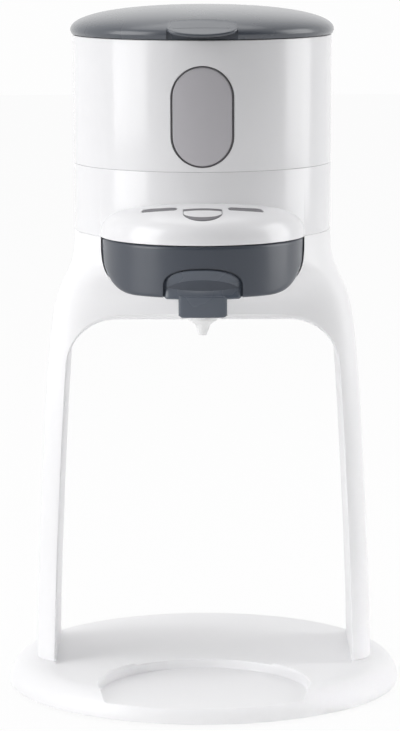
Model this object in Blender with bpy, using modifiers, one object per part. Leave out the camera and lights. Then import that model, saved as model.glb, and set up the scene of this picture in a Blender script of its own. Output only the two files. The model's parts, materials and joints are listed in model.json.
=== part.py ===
"""A bottle warmer that heats water and runs it through a drawer into a bottle.

A round base carries an arch on two thin legs. On the arch sits a round head with the
heater, pump and keys, and on the head a lift-off water tank with a hinged lid. A drawer
with a nozzle slides into the arch under the head. Metres, +Z up, the front faces -Y, and
the origin is on the ground under the middle of the base.
"""

import math

import bmesh
import bpy
import numpy as np

# General fits
GAP = 0.0003
OVERRUN = 0.0020
MERGE = 0.000001
ROUND_STEPS = 48
SMALL_STEPS = 16
WALL = 0.0024

# Base disc
BASE_RADIUS = 0.0900
BASE_TOP = 0.0128
BASE_LIFT = 0.0012
BASE_FLANK = 0.0003
BASE_EDGE = BASE_TOP - BASE_LIFT - BASE_FLANK
BASE_WALL = 0.0025
RECESS_RADIUS = 0.0470
RECESS_INSET = 0.0300
RECESS_SETBACK = BASE_RADIUS - RECESS_INSET
RECESS_DEPTH = 0.0050
STEP_DEPTH = 0.0008
COVER_THICKNESS = 0.0022
FOOT_RADIUS = 0.0070
FOOT_HEIGHT = 0.0022
FOOT_INSET = 0.0200
POST_RADIUS = 0.0042
SCREW_RADIUS = 0.0015
SCREW_HEAD_RADIUS = 0.0028
SCREW_HEAD_HEIGHT = 0.0012
LEG_SCREW_REACH = 0.0090
GLAND_RADIUS = 0.0028
GLAND_COLLAR_RADIUS = 0.0036
GLAND_COLLAR_LENGTH = 0.0016
GLAND_LENGTH = 0.0060
GLAND_BORE = 0.0020
GLAND_HEIGHT = BASE_LIFT + COVER_THICKNESS + GAP + GLAND_COLLAR_RADIUS
GLAND_FLAT_INSET = 0.0055

# Arch with its legs
SEAM_HEIGHT = 0.2108
SEAM_RADIUS = 0.0582
LEG_INSET = 0.0127
FOOT_HALF_WIDTH = BASE_RADIUS - LEG_INSET
LEG_THICKNESS = 0.0094
LEG_HALF_DEPTH = 0.0350
LEG_SETBACK = 0.0100
ARCH_DEPTH = 0.0391
ARCH_INNER_TOP = SEAM_HEIGHT - ARCH_DEPTH
ARCH_CORNER = 0.0230
LINER_THICKNESS = 0.0020
LINER_HALF_DEPTH = 0.0220
LINER_RISE = 0.0112
LINER_BOTTOM = BASE_TOP + LINER_RISE
LINER_DROP = 0.0397
LINER_TOP = ARCH_INNER_TOP - LINER_DROP
CHANNEL_DEPTH = 0.0022
CHANNEL_INSET = 0.0030

# Drawer
DRAWER_INSET = 0.0121
DRAWER_RADIUS = SEAM_RADIUS - DRAWER_INSET
DRAWER_SETBACK = 0.0294
DRAWER_HEIGHT = 0.0223
DRAWER_BOTTOM = SEAM_HEIGHT - DRAWER_HEIGHT
BAY_CORNER = 0.0160
FASCIA_THICKNESS = 0.0021
TRAY_WALL = 0.0020
TRAY_DROP = 0.0013
TRAY_TOP = SEAM_HEIGHT - TRAY_DROP
TRAY_RISE = 0.0007
TRAY_FLOOR = DRAWER_BOTTOM + TRAY_RISE
TRAY_SLOPE = 0.0020
RUNNER_INSET = 0.0161
RUNNER_HALF_SPACING = DRAWER_RADIUS - RUNNER_INSET
RUNNER_WIDTH = 0.0030
RUNNER_END = 0.0161
RUNNER_HALF_LENGTH = DRAWER_RADIUS - RUNNER_END
WING_HEIGHT = 0.0040
WING_LENGTH = 0.0180
PAD_HALF_WIDTH = 0.0173
PAD_HEIGHT = 0.0124
PAD_TOP = DRAWER_BOTTOM + PAD_HEIGHT
PAD_CROWN = 0.0080
PAD_LIP = 0.0012
PAD_SHOULDER = PAD_TOP - PAD_CROWN
TONGUE_HALF_WIDTH = 0.0106
TONGUE_DROP = 0.0093
TONGUE_BOTTOM = DRAWER_BOTTOM - TONGUE_DROP
TONGUE_THICKNESS = 0.0036
TONGUE_CORNER = 0.0022
NOZZLE_RADIUS = 0.0066
NOZZLE_NECK_RADIUS = 0.0042
NOZZLE_BORE = 0.0012
NOZZLE_LENGTH = 0.0076
NOZZLE_SHOULDER = TONGUE_BOTTOM - NOZZLE_LENGTH
NOZZLE_STEP = 0.0016
NOZZLE_CONE_RADIUS = 0.0036
NOZZLE_POINT = 0.0062
NOZZLE_TIP = NOZZLE_SHOULDER - NOZZLE_POINT
NOZZLE_TIP_RADIUS = 0.0018
NOZZLE_NECK_HEIGHT = 0.0070

# Bay for the power board behind the drawer
REAR_BAY_HALF_WIDTH = 0.0360
REAR_BAY_DEPTH = 0.0160
REAR_BAY_WALL = 0.0040
REAR_BAY_DROP = 0.0025
REAR_BAY_FLOOR = DRAWER_BOTTOM - REAR_BAY_DROP
POWER_BOARD_MARGIN = 0.0060
BOARD_THICKNESS = 0.0016

# Head
HEAD_HEIGHT = 0.0302
HEAD_TOP = SEAM_HEIGHT + HEAD_HEIGHT
HEAD_FLARE = 0.0002
TANK_SEAM_RADIUS = SEAM_RADIUS + HEAD_FLARE
FLOOR_THICKNESS = 0.0025
BROW_DROP = 0.0107
BROW_HEIGHT = HEAD_HEIGHT - BROW_DROP - GAP
HEAD_SCREW_INSET = 0.0065
HEAD_SCREW_REACH = 0.0080
REAR_SCREW_TURN = 39.5

# Keys on the brow
KEY_PROUD = 0.0002
KEY_TRAVEL = 0.0008
KEY_INSET = 0.0095
KEY_BACK = DRAWER_RADIUS - KEY_INSET
KEY_HALF_WIDTH = 0.0085
KEY_DEPTH = 0.0068
BAR_HALF_WIDTH = 0.0009
BAR_GAP = 0.0045
BAR_INNER_X = KEY_HALF_WIDTH + BAR_GAP
BAR_INNER_INSET = 0.0099
BAR_INNER_REACH = DRAWER_RADIUS - BAR_INNER_INSET
BAR_LENGTH = 0.0128
BAR_OUTER_X = BAR_INNER_X + BAR_LENGTH
BAR_SWEEP = 0.0070
BAR_OUTER_REACH = BAR_INNER_REACH - BAR_SWEEP
BOARD_MARGIN = 0.0052
BOARD_HALF_WIDTH = BAR_OUTER_X + BOARD_MARGIN
BOARD_DEPTH = 0.0241
BOARD_BACK = DRAWER_RADIUS - BOARD_DEPTH
SWITCH_WIDTH = 0.0046
SWITCH_HEIGHT = 0.0032

# Water path inside the head
PORT_SETBACK = 0.0220
PORT_COLLAR_RADIUS = 0.0075
PORT_BORE = 0.0050
PORT_COLLAR_LENGTH = 0.0046
CUP_WALL = 0.0024
CUP_LEDGE = 0.0080
CUP_BORE = 0.0052
SEAL_HEIGHT = 0.0029
PIN_RADIUS = 0.0012
PUMP_RADIUS = 0.0110
PUMP_HEIGHT = 0.0190
PUMP_LIP = 0.0038
PUMP_OFFSET = 0.0310
PUMP_SETBACK = 0.0130
HEATER_RADIUS = 0.0140
HEATER_CORE_RADIUS = 0.0118
HEATER_HEIGHT = 0.0190
HEATER_INSET = 0.0282
HEATER_OFFSET = SEAM_RADIUS - HEATER_INSET
HEATER_SETBACK = 0.0110
HEATER_FINS = 4
THERMOSTAT_RADIUS = 0.0065
THERMOSTAT_HEIGHT = 0.0030
HOSE_RADIUS = 0.0025
HOSE_HEIGHT = 0.0075
HOSE_BEND = 0.0080
SPOUT_RADIUS = 0.0042
SPOUT_POST_HEIGHT = 0.0160

# Tank
TANK_HEIGHT = 0.0574
TANK_TOP = HEAD_TOP + GAP + TANK_HEIGHT
TANK_FLARE = 0.0002
TANK_TOP_RADIUS = TANK_SEAM_RADIUS + TANK_FLARE
TANK_FLOOR = 0.0024
WINDOW_HALF_WIDTH = 0.0140
WINDOW_RISE = 0.0018
WINDOW_BOTTOM = HEAD_TOP + GAP + WINDOW_RISE
WINDOW_DROP = 0.0110
WINDOW_TOP = TANK_TOP - WINDOW_DROP
WINDOW_INSET = 0.0004
GASKET_WIDTH = 0.0009
CAGE_RADIUS = 0.0092
CAGE_HEIGHT = 0.0125
CAGE_WALL = 0.0016
CAGE_SLOT_WIDTH = 0.0050
POPPET_RADIUS = 0.0064
POPPET_THICKNESS = 0.0016
POPPET_LIFT = 0.0020
STEM_RADIUS = 0.0016
SPRING_RADIUS = 0.0036
SPRING_WIRE = 0.0004
SPRING_TURNS = 4
SPRING_POINTS = 10

# Lid
LID_EDGE = TANK_TOP + GAP
LID_REVEAL = 0.00025
LID_EDGE_RADIUS = TANK_TOP_RADIUS + LID_REVEAL
LID_LIP = 0.00075
LID_RADIUS = LID_EDGE_RADIUS + LID_LIP
LID_RIM = 0.0017
LID_WIDEST = LID_EDGE + LID_RIM
LID_CROWN = 0.0111
LID_TOP = LID_WIDEST + LID_CROWN
LID_WALL = 0.0022
SKIRT_DEPTH = 0.0045
SKIRT_WALL = 0.0017
TAB_HALF_WIDTH = 0.0156
TAB_OVERHANG = 0.0022
TAB_REACH = LID_RADIUS + TAB_OVERHANG
TAB_LENGTH = 0.0098
TAB_ROOT = TAB_REACH - TAB_LENGTH
TAB_THICKNESS = 0.0022
TAB_RISE = 0.0038
TAB_TILT = 20.0
NOTCH_DEPTH = 0.0030
NOTCH_RISE = 0.0012
HINGE_OVERHANG = 0.0004
HINGE_SETBACK = LID_RADIUS + HINGE_OVERHANG
HINGE_RISE = 0.0049
HINGE_HEIGHT = LID_WIDEST + HINGE_RISE
KNUCKLE_RADIUS = 0.0038
KNUCKLE_HALF_WIDTH = 0.0038
EAR_RADIUS = 0.0031
EAR_THICKNESS = 0.0036
EAR_FOOT = 0.0150
HINGE_PIN_RADIUS = 0.0012

# Powers of the rounded outlines, and small parts as shares of the piece that has them
leg_square_share = 5.0
round_square_share = 2.0
brow_square_share = 3.0
lid_square_share = 2.3
pad_square_share = 0.85
leg_screw_share = 0.42
leg_face_share = 0.79
foot_edge_share = 0.3

# Outline of the arch, from the base up: height, flare and roundness of each section
arch_height_shares = (
    0.0, 0.173, 0.36, 0.597, 0.678, 0.743, 0.784, 0.813, 0.839,
    0.8545, 0.868, 0.882, 0.895, 0.91, 0.925, 0.945, 0.97, 1.0,
)
arch_flare_shares = (
    1.0, 0.95, 0.863, 0.731, 0.675, 0.61, 0.563, 0.518, 0.455,
    0.398, 0.33, 0.255, 0.199, 0.131, 0.079, 0.03, 0.006, 0.0,
)
arch_round_shares = (
    0.0, 0.0, 0.0, 0.0, 0.0, 0.0, 0.01, 0.03, 0.06,
    0.1, 0.16, 0.25, 0.36, 0.5, 0.64, 0.82, 0.95, 1.0,
)

# Turned shells whose cuts meet on shared rings, which the exact solver leaves open
MANIFOLD_NODES = ("base_disc", "base_cover", "head_floor", "head_shell", "tank", "lid", "base_hollow")

COLOURS = {
    "white_gloss": (0.86, 0.86, 0.87, 0.25, 0.0),
    "white_satin": (0.84, 0.84, 0.85, 0.4, 0.0),
    "slate": (0.13, 0.15, 0.17, 0.35, 0.0),
    "window_grey": (0.33, 0.32, 0.34, 0.2, 0.0),
    "rubber": (0.05, 0.05, 0.05, 0.7, 0.0),
    "clear_silicone": (0.75, 0.75, 0.74, 0.35, 0.0),
    "steel": (0.6, 0.6, 0.6, 0.3, 1.0),
    "aluminium": (0.7, 0.7, 0.72, 0.4, 1.0),
    "board_green": (0.03, 0.16, 0.08, 0.5, 0.0),
    "black_plastic": (0.03, 0.03, 0.03, 0.5, 0.0),
    "key_grey": (0.25, 0.25, 0.27, 0.35, 0.0),
}


def clear_scene():
    for item in list(bpy.data.objects):
        bpy.data.objects.remove(item, do_unlink=True)
    for group in list(bpy.data.collections):
        bpy.data.collections.remove(group)


def new_collection(name, hidden=False):
    group = bpy.data.collections.new(name)
    group.hide_render = hidden
    bpy.context.scene.collection.children.link(group)
    return group


def material(name):
    found = bpy.data.materials.get(name)
    if found:
        return found
    red, green, blue, rough, metal = COLOURS[name]
    made = bpy.data.materials.new(name)
    made.use_nodes = True
    shader = made.node_tree.nodes["Principled BSDF"]
    shader.inputs["Base Color"].default_value = (red, green, blue, 1.0)
    shader.inputs["Roughness"].default_value = rough
    shader.inputs["Metallic"].default_value = metal
    made.diffuse_color = (red, green, blue, 1.0)
    return made


def place(name, mesh, colour=None, cutter=False):
    """Puts a mesh into the scene, as a part with its material or as a hidden cutter."""
    made = bpy.data.objects.new(name, mesh)
    if cutter:
        CUTTERS.objects.link(made)
        made.hide_render = True
        made.display_type = "WIRE"
        return made
    PARTS.objects.link(made)
    mesh.materials.append(material(colour))
    mesh.shade_smooth()
    mesh.set_sharp_from_angle(angle=math.radians(35))
    return made


def turned(name, profile, colour=None, centre=(0.0, 0.0), steps=ROUND_STEPS, cutter=False):
    """A turned shape: (radius, height) points from the top down the outer side."""
    mesh = bpy.data.meshes.new(name)
    points = [(radius, 0.0, height) for radius, height in profile]
    mesh.from_pydata(points, [(i, i + 1) for i in range(len(points) - 1)], [])
    made = place(name, mesh, colour, cutter)
    made.location = (centre[0], centre[1], 0.0)
    if math.hypot(profile[0][0] - profile[-1][0], profile[0][1] - profile[-1][1]) < 1e-9:
        raise ValueError(name + ": a closed ring goes through ring()")
    screw = made.modifiers.new("turn", "SCREW")
    screw.steps = steps
    screw.render_steps = steps
    screw.use_merge_vertices = True
    screw.merge_threshold = MERGE
    screw.use_smooth_shade = True
    return made


def ring(name, profile, colour=None, centre=(0.0, 0.0), steps=ROUND_STEPS, cutter=False):
    """A turned ring: a closed (radius, height) outline, down its outer side and up its inner."""
    mesh = bpy.data.meshes.new(name)
    points = [(radius, 0.0, height) for radius, height in profile]
    count = len(points)
    mesh.from_pydata(points, [(i, (i + 1) % count) for i in range(count)], [])
    made = place(name, mesh, colour, cutter)
    made.location = (centre[0], centre[1], 0.0)
    screw = made.modifiers.new("turn", "SCREW")
    screw.steps = steps
    screw.render_steps = steps
    screw.use_merge_vertices = True
    screw.merge_threshold = MERGE
    screw.use_smooth_shade = True
    return made


def disc(name, radius, bottom, top, colour=None, centre=(0.0, 0.0), steps=SMALL_STEPS, cutter=False):
    return turned(
        name,
        [(0.0, top), (radius, top), (radius, bottom), (0.0, bottom)],
        colour,
        centre,
        steps,
        cutter,
    )


def box(name, low, high, colour=None, cutter=False):
    """A box between two corners."""
    mesh = bpy.data.meshes.new(name)
    shape = bmesh.new()
    bmesh.ops.create_cube(shape, size=1.0)
    size = [b - a for a, b in zip(low, high)]
    middle = [(a + b) / 2 for a, b in zip(low, high)]
    bmesh.ops.scale(shape, vec=size, verts=shape.verts)
    bmesh.ops.translate(shape, vec=middle, verts=shape.verts)
    shape.to_mesh(mesh)
    shape.free()
    return place(name, mesh, colour, cutter)


def prism(name, outline, start, end, axis, colour=None, cutter=False):
    """A flat outline, filled, and carried from start to end along Y or Z."""
    curve = bpy.data.curves.new(name + "_outline", "CURVE")
    curve.dimensions = "2D"
    curve.fill_mode = "BOTH"
    curve.extrude = abs(end - start) / 2
    spline = curve.splines.new("POLY")
    spline.points.add(len(outline) - 1)
    for point, (across, along) in zip(spline.points, outline):
        point.co = (across, along, 0.0, 1.0)
    spline.use_cyclic_u = True
    source = bpy.data.objects.new(name + "_outline", curve)
    CUTTERS.objects.link(source)
    graph = bpy.context.evaluated_depsgraph_get()
    mesh = bpy.data.meshes.new_from_object(source.evaluated_get(graph))
    bpy.data.objects.remove(source, do_unlink=True)
    shape = bmesh.new()
    shape.from_mesh(mesh)
    bmesh.ops.remove_doubles(shape, verts=shape.verts, dist=MERGE)
    bmesh.ops.recalc_face_normals(shape, faces=shape.faces)
    shape.to_mesh(mesh)
    shape.free()
    made = place(name, mesh, colour, cutter)
    middle = (start + end) / 2
    if axis == "Y":
        made.rotation_euler = (math.radians(90), 0.0, 0.0)
        made.location = (0.0, middle, 0.0)
    else:
        made.location = (0.0, 0.0, middle)
    return made


def tube(name, points, radius, colour, resolution=2):
    """A round tube along a smooth line of points, with filled ends."""
    curve = bpy.data.curves.new(name, "CURVE")
    curve.dimensions = "3D"
    curve.bevel_depth = radius
    curve.bevel_resolution = resolution
    curve.use_fill_caps = True
    spline = curve.splines.new("POLY")
    spline.points.add(len(points) - 1)
    for point, place_at in zip(spline.points, points):
        point.co = (*place_at, 1.0)
    source = bpy.data.objects.new(name + "_line", curve)
    CUTTERS.objects.link(source)
    graph = bpy.context.evaluated_depsgraph_get()
    mesh = bpy.data.meshes.new_from_object(source.evaluated_get(graph))
    bpy.data.objects.remove(source, do_unlink=True)
    shape = bmesh.new()
    shape.from_mesh(mesh)
    bmesh.ops.remove_doubles(shape, verts=shape.verts, dist=MERGE)
    bmesh.ops.recalc_face_normals(shape, faces=shape.faces)
    shape.to_mesh(mesh)
    shape.free()
    return place(name, mesh, colour)


def boolean(target, other, operation):
    step = target.modifiers.new(operation.lower() + "_" + other.name, "BOOLEAN")
    step.operation = operation
    step.solver = "MANIFOLD" if target.name in MANIFOLD_NODES else "EXACT"
    step.object = other
    return target


def cut(target, *others):
    for other in others:
        boolean(target, other, "DIFFERENCE")
    return target


def join(target, *others):
    for other in others:
        boolean(target, other, "UNION")
    return target


def keep(target, other):
    return boolean(target, other, "INTERSECT")


def arc(centre, radius, first, last, count, squeeze=1.0):
    """Points on an arc in degrees; squeeze scales its second coordinate."""
    angles = np.radians(np.linspace(first, last, count))
    return [
        (centre[0] + radius * math.cos(a), centre[1] + radius * squeeze * math.sin(a))
        for a in angles
    ]


def dome(radius, bottom, height, squareness, count):
    """A superellipse quarter from the top of a dome down to its rim."""
    angles = np.linspace(90, 0, count)
    return [
        (
            radius * math.cos(math.radians(a)) ** (2 / squareness) if a < 90 else 0.0,
            bottom + height * math.sin(math.radians(a)) ** (2 / squareness),
        )
        for a in angles
    ]


def arch_section_values(height):
    """Half width and roundness share of the arch at a height."""
    span = SEAM_HEIGHT - BASE_TOP
    share = (height - BASE_TOP) / span
    flare = np.interp(share, arch_height_shares, arch_flare_shares)
    roundness = np.interp(share, arch_height_shares, arch_round_shares)
    return SEAM_RADIUS + flare * (FOOT_HALF_WIDTH - SEAM_RADIUS), roundness


def leg_inner(height):
    return arch_section_values(height)[0] - LEG_THICKNESS


def arch_ring(height, count):
    """One horizontal section: a circle at the top, a rounded rectangle lower down."""
    half_width, roundness = arch_section_values(height)
    half_depth = LEG_HALF_DEPTH + roundness * (SEAM_RADIUS - LEG_HALF_DEPTH)
    middle = LEG_SETBACK * (1 - roundness)
    squareness = leg_square_share + roundness * (round_square_share - leg_square_share)
    angles = np.linspace(0, 2 * math.pi, count, endpoint=False)
    across, along = np.cos(angles), np.sin(angles)
    reach = (np.abs(across) ** squareness + np.abs(along) ** squareness) ** (-1 / squareness)
    return np.column_stack(
        [half_width * across * reach, middle + half_depth * along * reach, np.full(count, height)]
    )


def arch_loft(name, colour):
    """The outside of the arch as a loft from its feet to the round seam."""
    count = ROUND_STEPS
    span = SEAM_HEIGHT - BASE_TOP
    heights = [BASE_TOP + share * span for share in arch_height_shares]
    heights[0] = BASE_TOP + GAP
    rings = [arch_ring(height, count) for height in heights]
    shape = bmesh.new()
    rows = [[shape.verts.new(point) for point in points] for points in rings]
    for lower, upper in zip(rows, rows[1:]):
        for i in range(count):
            j = (i + 1) % count
            shape.faces.new((lower[i], lower[j], upper[j], upper[i]))
    shape.faces.new(list(reversed(rows[0])))
    shape.faces.new(rows[-1])
    mesh = bpy.data.meshes.new(name)
    shape.to_mesh(mesh)
    shape.free()
    return place(name, mesh, colour)


def arch_opening_outline():
    """The bottle's opening seen from the front: legs with the outside's curve, round corners."""
    turn = ARCH_INNER_TOP - ARCH_CORNER
    heights = [BASE_TOP - OVERRUN, *np.linspace(BASE_TOP + OVERRUN, turn, 10)]
    side = [(leg_inner(max(height, BASE_TOP)), height) for height in heights]
    corner = arc((side[-1][0] - ARCH_CORNER, turn), ARCH_CORNER, 0, 90, 9)[1:]
    half = side + corner
    return half + [(-across, height) for across, height in reversed(half)]


def leg_strip_outline(side, bottom, top, inner_offset, outer_offset):
    """A strip that follows a leg's inner face, seen from the front."""
    heights = np.linspace(bottom, top, 8)
    inner = [(side * (leg_inner(height) + inner_offset), height) for height in heights]
    outer = [(side * (leg_inner(height) + outer_offset), height) for height in heights]
    return inner + outer[::-1]


def base_profile(offset, bottom, points):
    """The base's half outline, or the same line further in: a flat top and a round edge."""
    edge = BASE_EDGE - offset
    centre = (BASE_RADIUS - BASE_EDGE, BASE_TOP - BASE_EDGE)
    side = [*arc(centre, edge, 90, 0, points), (BASE_RADIUS - offset, bottom)]
    return [(0.0, BASE_TOP - offset), *side, (0.0, bottom)]


def leg_screw_places():
    across = (leg_inner(BASE_TOP) + FOOT_HALF_WIDTH) / 2
    spread = LEG_HALF_DEPTH * leg_screw_share
    return [
        (side * across, LEG_SETBACK + along * spread)
        for side in (-1, 1)
        for along in (-1, 1)
    ]


def foot_places():
    reach = (BASE_RADIUS - FOOT_INSET) / math.sqrt(2)
    return [(x * reach, y * reach) for x in (-1, 1) for y in (-1, 1)]


def make_base():
    body = turned("base_disc", base_profile(0.0, BASE_LIFT, 7), "white_satin")
    hollow = turned("base_hollow", base_profile(BASE_WALL, BASE_LIFT - OVERRUN, 5), cutter=True)
    recess_floor = BASE_TOP - RECESS_DEPTH
    cup = disc(
        "recess_cup", RECESS_RADIUS + BASE_WALL, recess_floor - BASE_WALL, BASE_TOP + OVERRUN,
        centre=(0.0, -RECESS_SETBACK), steps=ROUND_STEPS, cutter=True,
    )
    cut(hollow, cup)
    cover_top = BASE_LIFT + COVER_THICKNESS
    holes = []
    for index, (x, y) in enumerate(leg_screw_places()):
        post = disc(
            "post_%d" % index, POST_RADIUS, cover_top + GAP, BASE_TOP + OVERRUN, centre=(x, y), cutter=True,
        )
        hole = disc(
            "post_hole_%d" % index, SCREW_RADIUS + GAP, BASE_LIFT - OVERRUN, BASE_TOP + OVERRUN,
            centre=(x, y), cutter=True,
        )
        cut(hollow, post)
        holes.append(hole)
    recess = disc(
        "recess", RECESS_RADIUS, recess_floor, BASE_TOP + OVERRUN,
        centre=(0.0, -RECESS_SETBACK), steps=ROUND_STEPS, cutter=True,
    )
    inner = leg_inner(BASE_TOP)
    leg_front = LEG_SETBACK - LEG_HALF_DEPTH * leg_face_share
    step = box(
        "back_step",
        (-inner, leg_front, BASE_TOP - STEP_DEPTH),
        (inner, BASE_RADIUS, BASE_TOP + OVERRUN),
        cutter=True,
    )
    flat_y = BASE_RADIUS - GLAND_FLAT_INSET
    half = GLAND_COLLAR_RADIUS + GAP
    block = box(
        "gland_block",
        (-half - WALL, flat_y - WALL, cover_top + GAP),
        (half + WALL, BASE_RADIUS, BASE_TOP),
        cutter=True,
    )
    cut(hollow, block)
    flat = box(
        "gland_flat",
        (-half, flat_y, cover_top + GAP),
        (half, BASE_RADIUS + OVERRUN, BASE_TOP + OVERRUN),
        cutter=True,
    )
    bore = rod_y(
        "gland_hole", GLAND_RADIUS + GAP, BASE_RADIUS - BASE_EDGE - OVERRUN, BASE_RADIUS + OVERRUN,
        0.0, GLAND_HEIGHT, cutter=True,
    )
    cut(body, hollow, recess, step, flat, bore, *holes)


def rod_y(name, radius, start, end, x, z, colour=None, cutter=False):
    """A round rod along Y."""
    made = disc(name, radius, start - end, 0.0, colour, cutter=cutter)
    made.rotation_euler = (math.radians(-90), 0.0, 0.0)
    made.location = (x, end, z)
    return made


def rod_x(name, radius, start, end, y, z, colour=None, cutter=False):
    """A round rod along X."""
    made = disc(name, radius, start - end, 0.0, colour, cutter=cutter)
    made.rotation_euler = (0.0, math.radians(90), 0.0)
    made.location = (end, y, z)
    return made


def make_cover():
    radius = BASE_RADIUS - BASE_WALL - GAP - GAP
    top = BASE_LIFT + COVER_THICKNESS
    plate = disc("base_cover", radius, BASE_LIFT, top, "white_satin", steps=ROUND_STEPS)
    for index, (x, y) in enumerate(foot_places()):
        pocket = disc(
            "foot_pocket_%d" % index, FOOT_RADIUS + GAP, BASE_LIFT - OVERRUN, FOOT_HEIGHT + GAP,
            centre=(x, y), cutter=True,
        )
        cut(plate, pocket)
    for index, (x, y) in enumerate(leg_screw_places()):
        hole = disc(
            "cover_hole_%d" % index, SCREW_RADIUS + GAP, BASE_LIFT - OVERRUN, top + OVERRUN,
            centre=(x, y), cutter=True,
        )
        sink = disc(
            "cover_sink_%d" % index, SCREW_HEAD_RADIUS + GAP, BASE_LIFT - OVERRUN,
            BASE_LIFT + SCREW_HEAD_HEIGHT + GAP, centre=(x, y), cutter=True,
        )
        cut(plate, hole, sink)


def make_feet():
    edge = FOOT_HEIGHT * foot_edge_share
    names = ("foot_front_left", "foot_rear_left", "foot_front_right", "foot_rear_right")
    profile = [
        (0.0, FOOT_HEIGHT), (FOOT_RADIUS, FOOT_HEIGHT), (FOOT_RADIUS, edge),
        (FOOT_RADIUS - edge, 0.0), (0.0, 0.0),
    ]
    for name, centre in zip(names, foot_places()):
        turned(name, profile, "rubber", centre, SMALL_STEPS)


def screw(name, centre, head_bottom, tip, colour="steel"):
    """A pan head screw that points up from its head, or down where the tip is lower."""
    up = 1 if tip > head_bottom else -1
    profile = [
        (0.0, tip), (SCREW_RADIUS, tip), (SCREW_RADIUS, head_bottom + up * SCREW_HEAD_HEIGHT),
        (SCREW_HEAD_RADIUS, head_bottom + up * SCREW_HEAD_HEIGHT), (SCREW_HEAD_RADIUS, head_bottom),
        (0.0, head_bottom),
    ]
    if up < 0:
        profile.reverse()
    turned(name, profile, colour, centre, SMALL_STEPS)


def make_base_screws():
    tip = BASE_TOP + LEG_SCREW_REACH
    for index, centre in enumerate(leg_screw_places()):
        screw("base_screw_%d" % (index + 1), centre, BASE_LIFT, tip)


def make_gland():
    flat = BASE_RADIUS - GLAND_FLAT_INSET
    profile = [
        (GLAND_BORE, GLAND_COLLAR_LENGTH), (GLAND_COLLAR_RADIUS, GLAND_COLLAR_LENGTH),
        (GLAND_COLLAR_RADIUS, GAP),
        (GLAND_RADIUS, GAP), (GLAND_RADIUS, -GLAND_LENGTH), (GLAND_BORE, -GLAND_LENGTH),
    ]
    gland = ring("cord_gland", profile, "rubber", steps=SMALL_STEPS)
    gland.rotation_euler = (math.radians(-90), 0.0, 0.0)
    gland.location = (0.0, flat, GLAND_HEIGHT)


def make_arch():
    arch = arch_loft("arch", "white_satin")
    opening = prism("arch_opening", arch_opening_outline(), -BASE_RADIUS, BASE_RADIUS, "Y", cutter=True)
    bay = prism("drawer_bay", bay_outline(GAP), -BASE_RADIUS, bay_back(), "Y", cutter=True)
    slot = prism(
        "keel_slot", keel_outline(GAP), ARCH_INNER_TOP - OVERRUN, DRAWER_BOTTOM + OVERRUN, "Z", cutter=True,
    )
    rear_front = bay_back() + REAR_BAY_WALL
    rear = box(
        "rear_bay",
        (-REAR_BAY_HALF_WIDTH, rear_front, REAR_BAY_FLOOR),
        (REAR_BAY_HALF_WIDTH, rear_front + REAR_BAY_DEPTH, SEAM_HEIGHT + OVERRUN),
        cutter=True,
    )
    cut(arch, opening, bay, slot, rear)
    for side, word in ((-1, "left"), (1, "right")):
        pocket = prism(
            "liner_pocket_" + word,
            leg_strip_outline(side, LINER_BOTTOM - GAP, LINER_TOP + GAP, -OVERRUN, LINER_THICKNESS + GAP),
            LEG_SETBACK - LINER_HALF_DEPTH - GAP, LEG_SETBACK + LINER_HALF_DEPTH + GAP, "Y", cutter=True,
        )
        channel = prism(
            "wire_channel_" + word,
            leg_strip_outline(
                side, LINER_BOTTOM + CHANNEL_INSET, LINER_TOP - CHANNEL_INSET, -OVERRUN,
                LINER_THICKNESS + GAP + CHANNEL_DEPTH,
            ),
            LEG_SETBACK - LINER_HALF_DEPTH + CHANNEL_INSET, LEG_SETBACK + LINER_HALF_DEPTH - CHANNEL_INSET,
            "Y", cutter=True,
        )
        cut(arch, pocket, channel)
    for index, (x, y) in enumerate(leg_screw_places()):
        cut(arch, disc(
            "leg_hole_%d" % index, SCREW_RADIUS + GAP, BASE_TOP - OVERRUN, BASE_TOP + LEG_SCREW_REACH + GAP,
            centre=(x, y), cutter=True,
        ))
    for index, (x, y) in enumerate(head_screw_places()):
        cut(arch, disc(
            "arch_screw_hole_%d" % index, SCREW_RADIUS + GAP, SEAM_HEIGHT - HEAD_SCREW_REACH - GAP,
            SEAM_HEIGHT + OVERRUN, centre=(x, y), cutter=True,
        ))


def bay_back():
    return DRAWER_RADIUS - DRAWER_SETBACK + GAP


def bay_outline(gap):
    """The drawer seen from the front: straight sides, round lower corners."""
    half = DRAWER_RADIUS + gap
    floor = DRAWER_BOTTOM - gap
    corner = arc((half - BAY_CORNER, floor + BAY_CORNER), BAY_CORNER, -90, 0, 7)
    side = corner + [(half, SEAM_HEIGHT + OVERRUN)]
    return side + [(-across, height) for across, height in reversed(side)]


def keel_outline(gap):
    """The keel under the drawer seen from above: parallel sides and a round back end."""
    half = TONGUE_HALF_WIDTH + gap
    back = arc((0.0, -DRAWER_SETBACK), half, 0, 180, 11)
    tongue_inside = math.sqrt((DRAWER_RADIUS - TONGUE_THICKNESS) ** 2 - half**2)
    front = -BASE_RADIUS if gap else GAP - DRAWER_SETBACK - tongue_inside
    return [(half, front), *back, (-half, front)]


def make_leg_liners():
    for side, word in ((-1, "left"), (1, "right")):
        prism(
            "leg_cover_" + word,
            leg_strip_outline(side, LINER_BOTTOM, LINER_TOP, 0.0, LINER_THICKNESS),
            LEG_SETBACK - LINER_HALF_DEPTH, LEG_SETBACK + LINER_HALF_DEPTH, "Y", "white_satin",
        )


def head_screw_places():
    side = SEAM_RADIUS - HEAD_SCREW_INSET
    rear_x, rear_y = arc((0.0, 0.0), side, REAR_SCREW_TURN, REAR_SCREW_TURN, 1)[0]
    return [(-side, 0.0), (side, 0.0), (-rear_x, rear_y), (rear_x, rear_y)]


def head_bottom():
    return SEAM_HEIGHT + GAP


def floor_top():
    return head_bottom() + FLOOR_THICKNESS


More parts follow.
